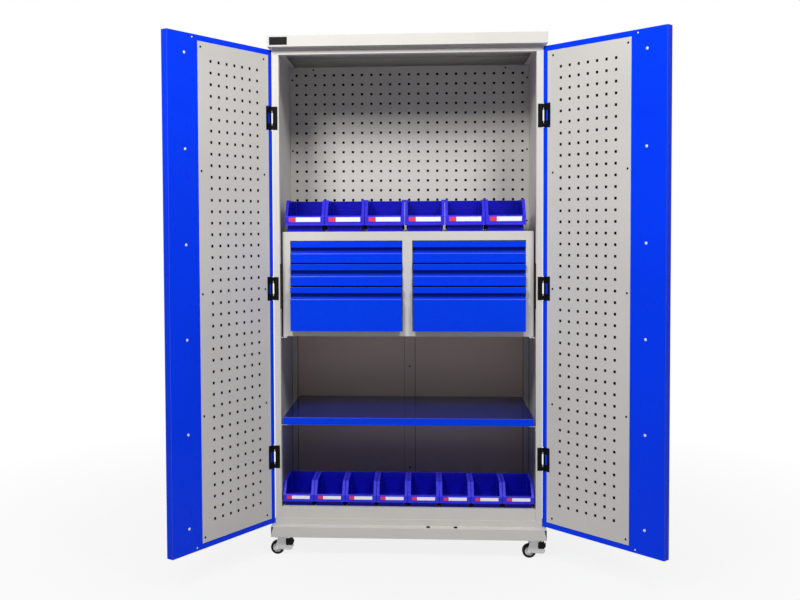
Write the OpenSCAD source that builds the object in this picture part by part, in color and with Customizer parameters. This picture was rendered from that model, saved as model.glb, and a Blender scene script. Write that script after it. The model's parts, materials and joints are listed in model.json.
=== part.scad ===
// Tool cabinet with two swing doors, six drawers, a shelf, pegboards,
// fourteen open-front bins and four swivel casters.
// Millimetres. +Z is up, the doors are at -Y and the origin is on the ground,
// below the middle of the cap.

/* [Cabinet body] */
// Width of the cap and the plinth
cap_w = 1000; // [960:1:1100]
// Depth of the cap and the plinth
cap_d = 500; // [440:1:600]
// Height of the body between the plinth and the cap
body_h = 1738; // [1690:1:1800]
// Height of the cap
cap_h = 40; // [30:1:60]
// Height of the plinth
plinth_h = 39; // [30:1:60]
// Set-in of each body side from the edge of the cap
side_inset = 15; // [14:0.5:20]
// Thickness of the sheet steel
sheet_t = 1.5; // [1.2:0.1:2]
// Width of a front or rear post
post_w = 22; // [18:0.5:28]
// Depth of a front post
front_post_d = 30; // [24:1:33]
// Depth of a rear post, which is also how far the pegboard stands off the back
rear_post_d = 28; // [22:1:32]
// Height of the rail over the doorway
lintel_h = 24; // [18:1:40]
// Height of the bright lower band of that rail
lintel_band_h = 13; // [8:1:16]
// Rise of the cabinet's floor above the plinth
floor_rise = 65; // [50:1:80]
// Height of the strip that stands up from the plinth below the floor's lip
upstand_h = 24; // [16:1:32]
// Width of the strip that covers the seam of the back
back_strip_w = 43; // [30:1:60]
// Width of the blank nameplate
nameplate_w = 64; // [40:1:90]
// Height of the blank nameplate
nameplate_h = 28; // [18:1:29]
// Spread of the slanted ends of the plinth's front
plinth_slant = 9; // [4:1:12]

/* [Doors] */
// Thickness of a door
door_t = 27; // [24:0.5:32]
// Gap between a closed door and the front posts
door_gap = 3; // [2.8:0.1:4]
// Gap between the plinth and a door
door_gap_bottom = 4; // [3:0.5:8]
// Gap between a door and the cap
door_gap_top = 6; // [4:0.5:10]
// Gap between the two closed doors
door_gap_middle = 2; // [2:0.5:4]
// Width of the blue band along a door's free edge
band_w = 134; // [120:1:150]
// Blue margin round the other edges of a door's pegboard
panel_margin = 20; // [16:1:26]
// Width of the flange behind a pegboard's edges
panel_seat = 28; // [24:1:34]
// Thickness of a pegboard
peg_t = 1.2; // [1:0.1:1.4]
// Angle at which the left door stands open
left_door_angle = 123; // [0:0.5:140]
// Angle at which the right door stands open
right_door_angle = 134.5; // [0:0.5:140]
// Diameter of the round plugs along the band
plug_d = 10; // [6:0.5:14]
// Distance from the free edge to the row of plugs
plug_in = 75; // [60:1:100]
// Number of plugs along a band
plug_count = 6; // [2:1:8]

/* [Peg holes] */
// Distance between peg holes along the width
peg_pitch_x = 38; // [30:0.5:50]
// Distance between peg holes along the height
peg_pitch_z = 38.9; // [30:0.1:50]
// Side of a square peg hole
peg_hole = 9.5; // [6:0.5:12]
// Distance from a door pegboard's top to its first row
door_peg_first = 61; // [50:1:80]
// Distance from the rear pegboard's top to its first row
rear_peg_first = 32; // [28:1:60]

/* [Hinges] */
// Height of a hinge
hinge_h = 84; // [70:1:100]
// Distance between neighbouring hinges
hinge_pitch = 618; // [400:1:700]
// Height over a door's two knuckles
knuckle_h = 53; // [48:1:60]
// Height of the window in a hinge
hinge_window_h = 38; // [30:1:44]
// Width of the window from the pin
hinge_window_w = 13; // [11:0.5:14]
// Radius of a knuckle
knuckle_r = 4; // [3.5:0.1:4.5]
// Radius of a hinge pin
pin_r = 2.5; // [2:0.1:2.8]
// Distance from a door's edge to its hinge pin
pin_in = 8; // [7:0.5:8.5]
// Reach of a hinge plate from the pin
hinge_reach = 24; // [20:0.5:28]
// Thickness of a hinge plate
hinge_t = 1.2; // [1:0.1:1.3]

/* [Lock] */
// Distance from the middle of the cabinet to the lower lock rod
rod_in = 74; // [60:1:90]
// Radius of a lock rod
rod_r = 4; // [3:0.1:5]
// Number of teeth on the lock's pinion
pinion_teeth = 12; // [12:2:16]
// Size of a tooth: pitch circle diameter over number of teeth
tooth_size = 1.7; // [1.5:0.1:1.8]
// Length of the handle's lever
lever_l = 115; // [80:1:140]
// Finger gap under the lever
lever_gap = 26; // [20:1:40]
// Radius of the handle's shaft
shaft_r = 4; // [3:0.1:5]

/* [Drawer unit] */
// Height of the drawer case's underside above the cabinet's floor
case_rise = 625; // [560:1:650]
// Gap between the drawer case and a post
case_gap = 5; // [3:0.5:8]
// Width of the case's frame beside the drawers
case_side_w = 28; // [24:1:34]
// Gap between the drawer case and the rear pegboard
case_back_gap = 8.5; // [4:0.5:20]
// Distance from the front of the posts back to the case
case_recess = 36; // [34:1:40]
// Height of the case's top rail
case_top_rail = 33; // [24:1:44]
// Height of the case's bottom rail
case_bottom_rail = 18; // [12:1:30]
// Width of the case's middle stile
stile_w = 36; // [30:1:44]
// Gap beside a drawer front
front_side_gap = 2.5; // [1.5:0.5:4]
// Height of a top or middle drawer front
shallow_h = 78; // [70:1:86]
// Height of a bottom drawer front
deep_h = 161; // [130:1:180]
// Gap between drawer fronts
front_gap = 5; // [3:0.5:7]
// Gap above the top and below the bottom drawer front
end_gap = 3; // [2:0.5:5]
// Thickness of a drawer front
front_t = 16; // [14:0.5:18]
// Height of the band over the finger recess
grip_band_h = 22; // [16:1:26]
// Height of the finger recess
grip_h = 21; // [18:1:24]
// Depth of the finger recess
grip_d = 12; // [10:0.5:12.5]
// Width of the gap that a drawer runner fills
runner_w = 13; // [11:0.5:15]
// Height of a fixed drawer runner
runner_h = 32; // [26:1:36]
// Length of a drawer's box behind its front
box_d = 360; // [320:1:362]
// How far the middle drawers stand ajar
middle_ajar = 14; // [0:1:20]
// How far the bottom drawers stand ajar
bottom_ajar = 28; // [0:1:30]

/* [Shelf] */
// Height of the shelf's top above the cabinet's floor
shelf_rise = 329; // [280:1:400]
// Gap between the shelf and a post
shelf_gap = 6; // [3:0.5:10]
// Height of the shelf's edge
shelf_edge_h = 27; // [20:1:35]

/* [Bins] */
// Distance between upper bins
upper_pitch = 147; // [140:0.5:150]
// Depth of an upper bin
upper_d = 240; // [200:1:280]
// Height of an upper bin
upper_h = 117; // [100:1:130]
// Height of an upper bin's front lip
upper_lip = 56; // [44:1:70]
// Distance from the case's left side to the upper bins
upper_row_in = 8; // [2:1:14]
// Distance between lower bins
lower_pitch = 115; // [106:0.5:118]
// Depth of a lower bin
lower_d = 170; // [140:1:220]
// Height of a lower bin
lower_h = 88; // [76:1:100]
// Height of a lower bin's front lip
lower_lip = 42; // [34:1:52]
// Distance from the left post to the lower bins
lower_row_in = 3.5; // [2:0.5:10]
// Gap between neighbouring bins
bin_gap = 1.5; // [1:0.5:4]
// Width of the rim along a bin's sides
bin_rim_w = 8; // [5:0.5:10]
// Thickness of a bin's wall
bin_t = 2.5; // [1.5:0.1:3.5]

/* [Casters] */
// Radius of a wheel
wheel_r = 25; // [22:0.5:25.5]
// Width of a wheel
wheel_w = 20; // [16:0.5:22]
// Radius of an axle
axle_r = 4; // [3:0.1:5]
// Distance from a swivel's axis back to its axle
trail = 20; // [16:0.5:24]
// Height of a caster, plate included
caster_h = 73; // [72:0.5:80]
// Side of a caster's square plate
plate_w = 64; // [60:1:72]
// Distance from the plinth's edge to a caster's axis
caster_in = 40; // [38:1:60]
// Radius of a kingpin
kingpin_r = 5; // [4:0.1:6]

/* [Hidden] */
post_gap = cap_w - 2 * side_inset - 2 * post_w;
case_w = post_gap - 2 * case_gap;
upper_bins = floor((case_w - upper_row_in) / upper_pitch);
lower_bins = floor((post_gap - lower_row_in) / lower_pitch);
UPPER_NAMES = [for (i = [1:upper_bins]) str("bin_upper_", i)];
LOWER_NAMES = [for (i = [1:lower_bins]) str("bin_lower_", i)];
SIDES = [["left", -1], ["right", 1]];
LEVELS = ["top", "middle", "bottom"];
ENDS = [["front", -1], ["rear", 1]];
DRAWER_NAMES = [for (s = SIDES, l = LEVELS) str("drawer_", s[0], "_", l)];
CASTER_NAMES = [for (e = ENDS, s = SIDES) str(e[0], "_", s[0])];

$fn = 48;
eps = 0.01;              // overlap of cutters past a face
run_gap = 0.05;          // radial clearance of a pin or shaft that turns
slide_gap = 0.3;         // clearance between sliding faces
seam = 0.05;             // joint line between pieces that are fixed to each other
grey = [0.80, 0.79, 0.75];
blue = [0.00, 0.22, 0.90];
bin_blue = [0.10, 0.07, 0.68];
black = [0.06, 0.06, 0.06];
steel = [0.70, 0.71, 0.72];
white = [0.92, 0.92, 0.90];

// Heights
plinth_z = caster_h;
ledge_z = plinth_z + plinth_h;
floor_z = ledge_z + floor_rise;
body_top = ledge_z + body_h;
cap_top = body_top + cap_h;
doorway_top = body_top - lintel_h;
door_bottom = ledge_z + door_gap_bottom;
door_top = body_top - door_gap_top;
door_h = door_top - door_bottom;
shelf_z = floor_z + shelf_rise;
shelf_under = shelf_z - shelf_edge_h;

// Widths
body_x = cap_w / 2 - side_inset;
inner_x = body_x - sheet_t;
post_x = body_x - post_w;

// Depths
front_y = -cap_d / 2 + door_t + door_gap;
back_y = cap_d / 2;
back_in = back_y - sheet_t;
front_post_y = front_y + front_post_d;
rear_post_y = back_in - rear_post_d + sheet_t;
peg_y = rear_post_y - sheet_t;

// Sheet details
flange_w = 24;           // flange under the plinth
pad_w = 110;             // its square corner pads, from the plinth's edge
ledge_hole_gap = 99;     // from the lock rod's hole in the ledge to the spare hole
top_rail_h = 20;         // rail behind the rear pegboard's top
hem_w = 12;              // folded hem under the shelf's edge
shelf_front_in = 6;      // from the front of the posts back to the shelf
shelf_back_gap = 3;
rail_in = 4;             // from the posts' front and the back to the rails
clip_w = 20;             // width of a shelf clip
strip_screw_first = 33;  // lowest screw of the back's strip above the floor
strip_screw_pitch = 420;
post_screw_low = 40;     // lowest screw in a rear post above the drawer case
post_screw_high = 50;    // highest one below the cap
top_screw_in = 75;       // screws in the top rail, from the posts
rear_peg_edge = 20;      // least distance from the rear pegboard's side to a hole
rear_peg_bottom = 6;
rear_panel_gap = 2;      // under the rear pegboard
plate_proud = 0.8;       // thickness of the nameplate
plate_in = 8.5;          // from the cap's edge to the nameplate
plate_down = 5.5;        // from the cap's top to the nameplate

// Doors, described closed and on the left
door_edge = -cap_w / 2;
door_free = -door_gap_middle / 2;
door_in_y = front_y - door_gap;
door_out_y = door_in_y - door_t;
pin_x = door_edge + pin_in;
pin_y = front_y - door_gap / 2;
panel_x = [door_edge + panel_margin, door_free - band_w];
panel_z = [door_bottom + panel_margin, door_top - panel_margin];
panel_w = panel_x[1] - panel_x[0];
panel_h = panel_z[1] - panel_z[0];
window_x = [panel_x[0] + panel_seat, panel_x[1] - panel_margin];
window_z = [panel_z[0] + panel_seat, panel_z[1] - panel_seat];
peg_edge = 50;           // least distance from a door pegboard's edge to a hole
plug_top = 66;           // first plug below a door's top
plug_bottom = 84;        // last plug above its bottom
lip_plug_in = 110;       // small plugs of the lips, from the free edge
lip_plug_end = 11;
door_mid = (door_bottom + door_top) / 2;
hinge_heights = [for (i = [-1:1]) door_mid + i * hinge_pitch];
notch_gap = 2;           // above and below a hinge
notch_h = hinge_h + 2 * notch_gap;
plate_start = knuckle_r + 1;
notch_r = knuckle_r + 0.5;
hinge_screw_in = 7;      // from the end of a hinge plate
hinge_screw_z = 15;
hinge_screw_r = 2;
hinge_screw_x = pin_x + hinge_reach - hinge_screw_in;
hinge_screw_l = 6;
screw_clear = 0.1;
panel_screw_r = 2;
screw_l = 8;             // length of a panel screw
head_r = 3.6;            // its head
head_h = 1.6;
flat_head_h = 0.9;       // flatter heads on the doors
panel_screw_in = 12;
panel_screw_rows = 5;
panel_screw_end = 18;
hinge_side_in = 24;      // the row beside the hinges, from the pegboard's edge
plug_stem_r = plug_d / 2 - 1.5;
plug_l = 6;
plug_head_h = 1;
lip_plug_r = 3;
lip_plug_stem_r = 2;

// Lock
pitch_r = pinion_teeth * tooth_size / 2;
tooth_pitch = PI * tooth_size;
tooth_out = 0.8 * tooth_size;
tooth_in = 1.15 * tooth_size;
backlash = 0.25;
rod_off = pitch_r + tooth_in + rod_r;
shaft_x = -rod_in + rod_off;
upper_rod_x = shaft_x + rod_off;
lock_y = (door_in_y + door_out_y) / 2;
rack_t = 2 * rod_r;
rod_travel = pitch_r * PI / 2;
rod_end_gap = 1;
rod_hole_gap = 1;        // round a rod in the cap and in the ledge
rack_end = 2;            // of a rack past the pinion
rack_reach = pitch_r + rack_end;
handle_base_t = 4;
handle_base_w = 36;
handle_base_h = 130;
lever_w = 18;
lever_t = 10;
lever_boss_r = lever_w / 2 + 3;
shaft_end_gap = 3;       // from the shaft's end to the sheet behind it
lock_case_end = 4;       // past the racks
lock_case_h = 2 * (rack_reach + rod_travel + lock_case_end);

// Drawer unit
case_z = floor_z + case_rise;
drawer_room = shallow_h * 2 + deep_h + front_gap * 2 + end_gap * 2;
case_h = case_bottom_rail + drawer_room + case_top_rail;
case_top = case_z + case_h;
case_y = front_y + case_recess;
case_d = peg_y - case_back_gap - case_y;
opening_x = stile_w / 2;
opening_w = case_w / 2 - opening_x - case_side_w;
front_w = opening_w - 2 * front_side_gap;
front_heights = [shallow_h, shallow_h, deep_h];
front_bottoms = [
    case_top - case_top_rail - end_gap - shallow_h,
    case_top - case_top_rail - end_gap - 2 * shallow_h - front_gap,
    case_z + case_bottom_rail + end_gap];
ajar = [0, middle_ajar, bottom_ajar];
box_w = opening_w - 2 * runner_w;
box_t = 1.2;
box_rise = 6;
box_drop = 14;
channel_t = 1.2;
runner_rise = 4;         // of a runner above the underside of its drawer's box
runner_start = 1;        // behind a drawer's front
rail_flange = 23;
rail_leg = 20;

// Bins
upper_slant = 48;        // depth of the slanted part of an upper bin's rim
lower_slant = 36;
upper_foot = 23;         // height of an upper bin's set-back foot
lower_foot = 18;
foot_back = 12;          // how far a foot is set back
bead_out = 2.5;          // bead along the bottom of the lip
bead_h = 5;
upper_row_back = 6;      // from the case's front back to the upper bins
lower_row_back = 6;      // from the floor's lip back to the lower bins

// Casters
plate_t = 2.5;
fork_t = 2;
fork_gap = 1.5;
crown_r = 20;
crown_z = [wheel_r * 2 + 11, caster_h - plate_t - slide_gap];
hub_r = wheel_r * 0.66;
caster_x = cap_w / 2 - caster_in;
caster_y = cap_d / 2 - caster_in;
bolt_in = 9;
bolt_r = 3;
nut_r = 5.2;             // a bolt's head and its nut, across the corners
nut_h = 4;
boss_r = 8;              // round end of a cheek at the axle
king_head_h = 3;
king_head_r = kingpin_r + 3;
axle_out = 3;            // how far an axle stands out of its fork
tyre_round = 4;
jaw_x = 37;              // reach of a braked fork, under its pedal
jaw_z = [wheel_r - 6, wheel_r + 10];
web_x = 11;              // front edge of a braked fork above its jaw
pedal_x = 20;            // a pedal's pin
pedal_z = wheel_r + 5;
pedal_r = 5.5;
pedal_pin_r = 3;
pedal_nose = 2;          // how far a pedal stands out over the jaw
pedal_top = crown_z[0] - 3;

// ---------------------------------------------------------------- helpers

// A block between two values on each axis
module block(x, y, z) {
    translate([x[0], y[0], z[0]]) cube([x[1] - x[0], y[1] - y[0], z[1] - z[0]]);
}

// Draws its children, described on the left, on side -1 or +1
module on_side(side) {
    if (side > 0) mirror([1, 0, 0]) children();
    else children();
}

// Swings a closed door's part about its hinge pin
module hang(side, angle) {
    translate([side * -pin_x, pin_y, 0]) rotate([0, 0, side * angle])
        translate([side * pin_x, -pin_y, 0]) on_side(side) children();
}

module left_door() { hang(-1, left_door_angle) children(); }
module right_door() { hang(1, right_door_angle) children(); }

// A round bar along Y from y[0] to y[1]
module bar_y(x, y, z, r) {
    translate([x, y[1], z]) rotate([90, 0, 0]) cylinder(h = y[1] - y[0], r = r);
}

// A sheet that faces -Y, with rows of square peg holes below its top
module pegboard(x, z, y, t, first, edge_x, edge_z) {
    w = x[1] - x[0];
    h = z[1] - z[0];
    columns = floor((w - 2 * edge_x) / peg_pitch_x);
    rows = floor((h - first - edge_z) / peg_pitch_z);
    translate([x[0], y + t, z[0]]) rotate([90, 0, 0]) linear_extrude(height = t)
        difference() {
            square([w, h]);
            for (i = [0:columns], j = [0:rows])
                translate([w / 2 + (i - columns / 2) * peg_pitch_x, h - first - j * peg_pitch_z])
                    square(peg_hole, center = true);
        }
}

// ---------------------------------------------------------------- body

// Places of the screws through the hinge plates, on the left
module at_hinge_screws() {
    for (z = hinge_heights, dz = [-hinge_screw_z, hinge_screw_z])
        translate([hinge_screw_x, 0, z + dz]) children();
}

module side_panel(side) {
    color(grey) on_side(side) difference() {
        union() {
            block([-body_x, -inner_x], [front_y, back_in], [ledge_z, body_top]);
            block([-body_x, -post_x], [front_y, front_y + sheet_t], [ledge_z, body_top]);
            block([-post_x - sheet_t, -post_x], [front_y, front_post_y], [ledge_z, body_top]);
            block([-post_x - post_w / 2, -post_x], [front_post_y - sheet_t, front_post_y],
                  [ledge_z, body_top]);
            block([-body_x, -post_x], [rear_post_y, rear_post_y + sheet_t], [ledge_z, body_top]);
            block([-post_x - sheet_t, -post_x], [rear_post_y, back_in], [ledge_z, body_top]);
        }
        at_hinge_screws() bar_y(0, [front_y - 1, front_y + sheet_t + 1], 0,
                                hinge_screw_r + screw_clear);
        at_post_screws() bar_y(0, [rear_post_y - 1, rear_post_y + sheet_t + 1], 0,
                               panel_screw_r + screw_clear);
    }
}

module side_panel_left() { side_panel(-1); }
module side_panel_right() { side_panel(1); }

// Places of the rear pegboard's screws in the left rear post
module at_post_screws() {
    for (k = [0:2])
        translate([-post_x - post_w / 2, 0,
                   case_top + post_screw_low
                   + k * (body_top - case_top - post_screw_low - post_screw_high) / 2]) children();
}

// Places of its screws in the rail along the top
module at_top_screws() {
    for (x = [-1, 1])
        translate([x * (post_x - top_screw_in), 0, body_top - top_rail_h / 2]) children();
}

// Places of the screws down the middle of the back
module at_strip_screws() {
    for (k = [0:1])
        translate([0, 0, floor_z + strip_screw_first + k * strip_screw_pitch]) children();
}

module back_panel() {
    color(grey) {
        for (side = [-1, 1]) on_side(side) difference() {
            block([-body_x, -seam], [back_in, back_y], [ledge_z, body_top]);
            at_strip_screws() bar_y(0, [back_in - 1, back_y + 1], 0, panel_screw_r + screw_clear);
        }
        difference() {
            block([-back_strip_w / 2, back_strip_w / 2], [back_in - sheet_t, back_in - seam],
                  [floor_z + seam, body_top - top_rail_h - seam]);
            at_strip_screws() bar_y(0, [back_in - sheet_t - 1, back_in + 1], 0,
                                    panel_screw_r + screw_clear);
        }
        difference() {
            block([-post_x, post_x], [rear_post_y, back_in - seam],
                  [body_top - top_rail_h, body_top]);
            block([-post_x - 1, post_x + 1], [rear_post_y + sheet_t, back_in + 1],
                  [body_top - top_rail_h + sheet_t, body_top - sheet_t]);
            at_top_screws() bar_y(0, [rear_post_y - 1, rear_post_y + sheet_t + 1], 0,
                                  panel_screw_r + screw_clear);
        }
    }
}

module top_cap() {
    color(grey) difference() {
        block([-cap_w / 2, cap_w / 2], [-cap_d / 2, cap_d / 2], [body_top, cap_top]);
        block([-cap_w / 2 + sheet_t, cap_w / 2 - sheet_t],
              [-cap_d / 2 + sheet_t, cap_d / 2 - sheet_t],
              [body_top + sheet_t, cap_top - sheet_t]);
        block([-post_x, post_x], [front_post_y, rear_post_y], [body_top - 1, body_top + sheet_t + 1]);
        translate([-upper_rod_x, lock_y, body_top - 1]) cylinder(h = sheet_t + 2, r = rod_r + rod_hole_gap);
    }
}

module lintel_rail() {
    color(grey) difference() {
        union() {
            block([-post_x, post_x], [front_y + sheet_t, front_post_y], [doorway_top, body_top]);
            block([-post_x, post_x], [front_y, front_y + 2 * sheet_t],
                  [doorway_top, doorway_top + lintel_band_h]);
        }
        block([-post_x - 1, post_x + 1], [front_y + 2 * sheet_t, front_post_y + 1],
              [doorway_top + sheet_t, body_top - sheet_t]);
    }
}

module plinth_frame() {
    color(grey) difference() {
        union() {
            block([-cap_w / 2, cap_w / 2], [-cap_d / 2, cap_d / 2], [plinth_z, ledge_z]);
            block([-post_x, post_x], [front_y, front_y + sheet_t], [ledge_z, ledge_z + upstand_h]);
        }
        block([-cap_w / 2 + sheet_t, cap_w / 2 - sheet_t],
              [-cap_d / 2 + sheet_t, cap_d / 2 - sheet_t],
              [plinth_z + 2 * sheet_t, ledge_z - sheet_t]);
        block([-cap_w / 2 + pad_w, cap_w / 2 - pad_w],
              [-cap_d / 2 + flange_w, cap_d / 2 - flange_w], [plinth_z - 1, plinth_z + 3 * sheet_t]);
        block([-cap_w / 2 + flange_w, cap_w / 2 - flange_w],
              [-cap_d / 2 + pad_w, cap_d / 2 - pad_w], [plinth_z - 1, plinth_z + 3 * sheet_t]);
        for (side = [-1, 1]) on_side(side)
            translate([-cap_w / 2, -cap_d / 2 + sheet_t + eps, 0]) rotate([90, 0, 0])
                linear_extrude(height = sheet_t + 1)
                    polygon([[-1, plinth_z], [0, plinth_z], [plinth_slant, ledge_z - sheet_t],
                             [-1, ledge_z - sheet_t]]);
        for (x = [rod_in, rod_in + ledge_hole_gap])
            translate([x, lock_y, ledge_z - sheet_t - 1])
                cylinder(h = sheet_t + 2, r = rod_r + rod_hole_gap);
        at_caster_bolts() cylinder(h = 2 * sheet_t + 1, r = bolt_r + screw_clear);
    }
}

// Places of the bolts of the caster plates, just under the plinth
module at_caster_bolts() {
    bolt = plate_w / 2 - bolt_in;
    for (x = [-1, 1], y = [-1, 1], i = [-1, 1], j = [-1, 1])
        translate([x * caster_x + i * bolt, y * caster_y + j * bolt, plinth_z - 1]) children();
}

module floor_pan() {
    color(grey) {
        block([-post_x, post_x], [front_y + sheet_t, back_in], [floor_z - sheet_t, floor_z]);
        block([-inner_x, inner_x], [front_post_y, rear_post_y], [floor_z - sheet_t, floor_z]);
        block([-post_x, post_x], [front_y + sheet_t, front_y + 2 * sheet_t],
              [ledge_z + upstand_h / 2, floor_z]);
        for (side = [-1, 1]) on_side(side)
            block([-post_x, -post_x + sheet_t], [front_y + sheet_t, back_in], [ledge_z, floor_z]);
        block([-post_x, post_x], [back_in - sheet_t, back_in], [ledge_z, floor_z]);
    }
}

module rear_pegboard() {
    color(grey) difference() {
        pegboard([-inner_x + sheet_t, inner_x - sheet_t], [case_top + rear_panel_gap, body_top],
                 peg_y, sheet_t, rear_peg_first, rear_peg_edge, rear_peg_bottom);
        for (side = [-1, 1]) on_side(side)
            at_post_screws() bar_y(0, [peg_y - 1, rear_post_y + 1], 0, panel_screw_r + screw_clear);
        at_top_screws() bar_y(0, [peg_y - 1, rear_post_y + 1], 0, panel_screw_r + screw_clear);
    }
}

// ---------------------------------------------------------------- drawer unit

module drawer_case() {
    inner = [-case_w / 2 + sheet_t, case_w / 2 - sheet_t];
    color(grey) {
        difference() {
            block([-case_w / 2, case_w / 2], [case_y, case_y + case_d], [case_z, case_top]);
            block(inner, [case_y + sheet_t, case_y + case_d - sheet_t],
                  [case_z + sheet_t, case_top - sheet_t]);
            for (side = [-1, 1]) on_side(side)
                block([-opening_x - opening_w, -opening_x], [case_y - 1, case_y + sheet_t + 1],
                      [case_z + case_bottom_rail, case_top - case_top_rail]);
        }
        for (side = [-1, 1], x = [opening_x, opening_x + opening_w + sheet_t]) on_side(side)
            block([-x, -x + sheet_t], [case_y + sheet_t, case_y + case_d - sheet_t],
                  [case_z + sheet_t, case_top - sheet_t]);
    }
}

// Height of the middle of a drawer's runners
function runner_z(level) = front_bottoms[level] + box_rise + runner_h / 2 + runner_rise;

// A channel of width w and height h that opens towards +X
module channel(w, h, y) {
    difference() {
        block([0, w], y, [-h / 2, h / 2]);
        block([channel_t, w + 1], [y[0] - 1, y[1] + 1], [-h / 2 + channel_t, h / 2 - channel_t]);
    }
}

module slide_channels() {
    color(steel)
        for (side = [-1, 1], level = [0:2]) on_side(side) {
            span = [case_y + front_t + runner_start, case_y + front_t + box_d];
            translate([-opening_x - opening_w, 0, runner_z(level)])
                channel(runner_w - 1, runner_h, span);
            translate([-opening_x, 0, runner_z(level)]) mirror([1, 0, 0])
                channel(runner_w - 1, runner_h, span);
        }
}

// A drawer's folded front, with a finger recess under its top band
module drawer_front(h) {
    t = box_t;
    low = h - grip_band_h - grip_h;
    difference() {
        block([-front_w / 2, front_w / 2], [0, front_t], [0, h]);
        block([-front_w / 2 - 1, front_w / 2 + 1], [-1, grip_d], [low, low + grip_h]);
        block([-front_w / 2 + t, front_w / 2 - t], [t, front_t + 1], [t, low - t]);
        block([-front_w / 2 + t, front_w / 2 - t], [t, front_t + 1], [low + grip_h + t, h - t]);
        block([-front_w / 2 + t, front_w / 2 - t], [grip_d + t, front_t + 1], [t, h - t]);
    }
}

module drawer(side, level) {
    h = front_heights[level];
    box_h = h - box_rise - box_drop;
    box_y = [grip_d + box_t, front_t + box_d];
    member_y = [front_t + runner_start, box_y[1]];
    middle = -opening_x - opening_w / 2;
    member_h = runner_h - 2 * channel_t - 2 * slide_gap;
    rise = runner_z(level) - front_bottoms[level];
    on_side(side) translate([middle, case_y - ajar[level], front_bottoms[level]]) {
        color(blue) {
            drawer_front(h);
            difference() {
                block([-box_w / 2, box_w / 2], box_y, [box_rise, box_rise + box_h]);
                block([-box_w / 2 + box_t, box_w / 2 - box_t],
                      [box_y[0] + box_t, box_y[1] - box_t],
                      [box_rise + box_t, box_rise + box_h + 1]);
            }
        }
        color(steel)
            for (s = [-1, 1]) on_side(s)
                translate([-box_w / 2 - seam, 0, rise]) mirror([1, 0, 0])
                    channel(runner_w - channel_t - slide_gap - seam, member_h, member_y);
    }
}

// ---------------------------------------------------------------- shelf and supports

module shelf() {
    y = [front_y + shelf_front_in, back_in - shelf_back_gap];
    x = [shelf_gap - post_x, post_x - shelf_gap];
    color(blue) difference() {
        block(x, y, [shelf_under, shelf_z]);
        block([x[0] + sheet_t, x[1] - sheet_t], [y[0] + sheet_t, y[1] - sheet_t],
              [shelf_under + sheet_t, shelf_z - sheet_t]);
        block([x[0] + hem_w, x[1] - hem_w], [y[0] + hem_w, y[1] - hem_w],
              [shelf_under - 1, shelf_under + sheet_t + 1]);
    }
}

module support_brackets() {
    rail_y = [front_y + rail_in, back_in - rail_in];
    color(steel) for (side = [-1, 1]) on_side(side) {
        for (y = [front_post_y - clip_w - 2, rear_post_y + 2]) {
            block([-post_x, -post_x + sheet_t], [y, y + clip_w], [shelf_under - clip_w, shelf_under]);
            block([-post_x, -post_x + rail_flange], [y, y + clip_w],
                  [shelf_under - sheet_t, shelf_under]);
        }
        block([-post_x, -post_x + sheet_t], rail_y, [case_z - rail_leg, case_z]);
        block([-post_x, -post_x + rail_flange], rail_y, [case_z - sheet_t, case_z]);
    }
}

// ---------------------------------------------------------------- small body parts

module nameplate_blank() {
    x = -cap_w / 2 + plate_in;
    z = cap_top - plate_down - nameplate_h;
    color(black) block([x, x + nameplate_w], [-cap_d / 2 - plate_proud, -cap_d / 2],
                       [z, z + nameplate_h]);
}

// A pan-head screw along +Y whose head lies in front of y = 0
module screw_y(r, length, wide_r, thick) {
    bar_y(0, [0, length], 0, r);
    bar_y(0, [-thick, 0], 0, wide_r);
}

module cabinet_screws() {
    color(black) {
        for (side = [-1, 1]) on_side(side) {
            at_hinge_screws() bar_y(0, [front_y - hinge_t, front_y + hinge_screw_l], 0, hinge_screw_r);
            at_post_screws() translate([0, peg_y, 0]) screw_y(panel_screw_r, screw_l, head_r, head_h);
        }
        at_top_screws() translate([0, peg_y, 0]) screw_y(panel_screw_r, screw_l, head_r, head_h);
        at_strip_screws() translate([0, back_in - sheet_t, 0])
            screw_y(panel_screw_r, 2 * sheet_t, head_r, head_h);
    }
    color(steel) at_caster_bolts() translate([0, 0, 1]) {
        translate([0, 0, -plate_t - nut_h]) cylinder(h = nut_h, r = nut_r, $fn = 6);
        translate([0, 0, -plate_t]) cylinder(h = plate_t + 2 * sheet_t + nut_h + 1, r = bolt_r);
        translate([0, 0, 2 * sheet_t]) cylinder(h = nut_h, r = nut_r, $fn = 6);
    }
}

// ---------------------------------------------------------------- hinges

// A hinge plate between y[0] and y[1], with its window, its arms and its screw holes
module hinge_plate(y, arms) {
    difference() {
        union() {
            block([plate_start, hinge_reach], y, [-hinge_h / 2, hinge_h / 2]);
            for (z = [arms, [-arms[1], -arms[0]]]) block([0, plate_start + 1], y, z);
        }
        block([plate_start - 1, hinge_window_w], [y[0] - 1, y[1] + 1],
              [-hinge_window_h / 2, hinge_window_h / 2]);
        for (dz = [-hinge_screw_z, hinge_screw_z])
            bar_y(hinge_screw_x - pin_x, [y[0] - 1, y[1] + 1], dz, hinge_screw_r + screw_clear);
    }
}

module hinge_brackets() {
    arms = [knuckle_h / 2 + slide_gap, hinge_h / 2];
    color(black)
        for (side = [-1, 1], z = hinge_heights) on_side(side) translate([pin_x, 0, z]) {
            hinge_plate([front_y - hinge_t, front_y], arms);
            for (s = [0, 1]) mirror([0, 0, s])
                translate([0, pin_y, arms[0]]) cylinder(h = arms[1] - arms[0], r = knuckle_r);
            translate([0, pin_y, -hinge_h / 2 - 1]) cylinder(h = hinge_h + 2, r = pin_r);
        }
}

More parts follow.
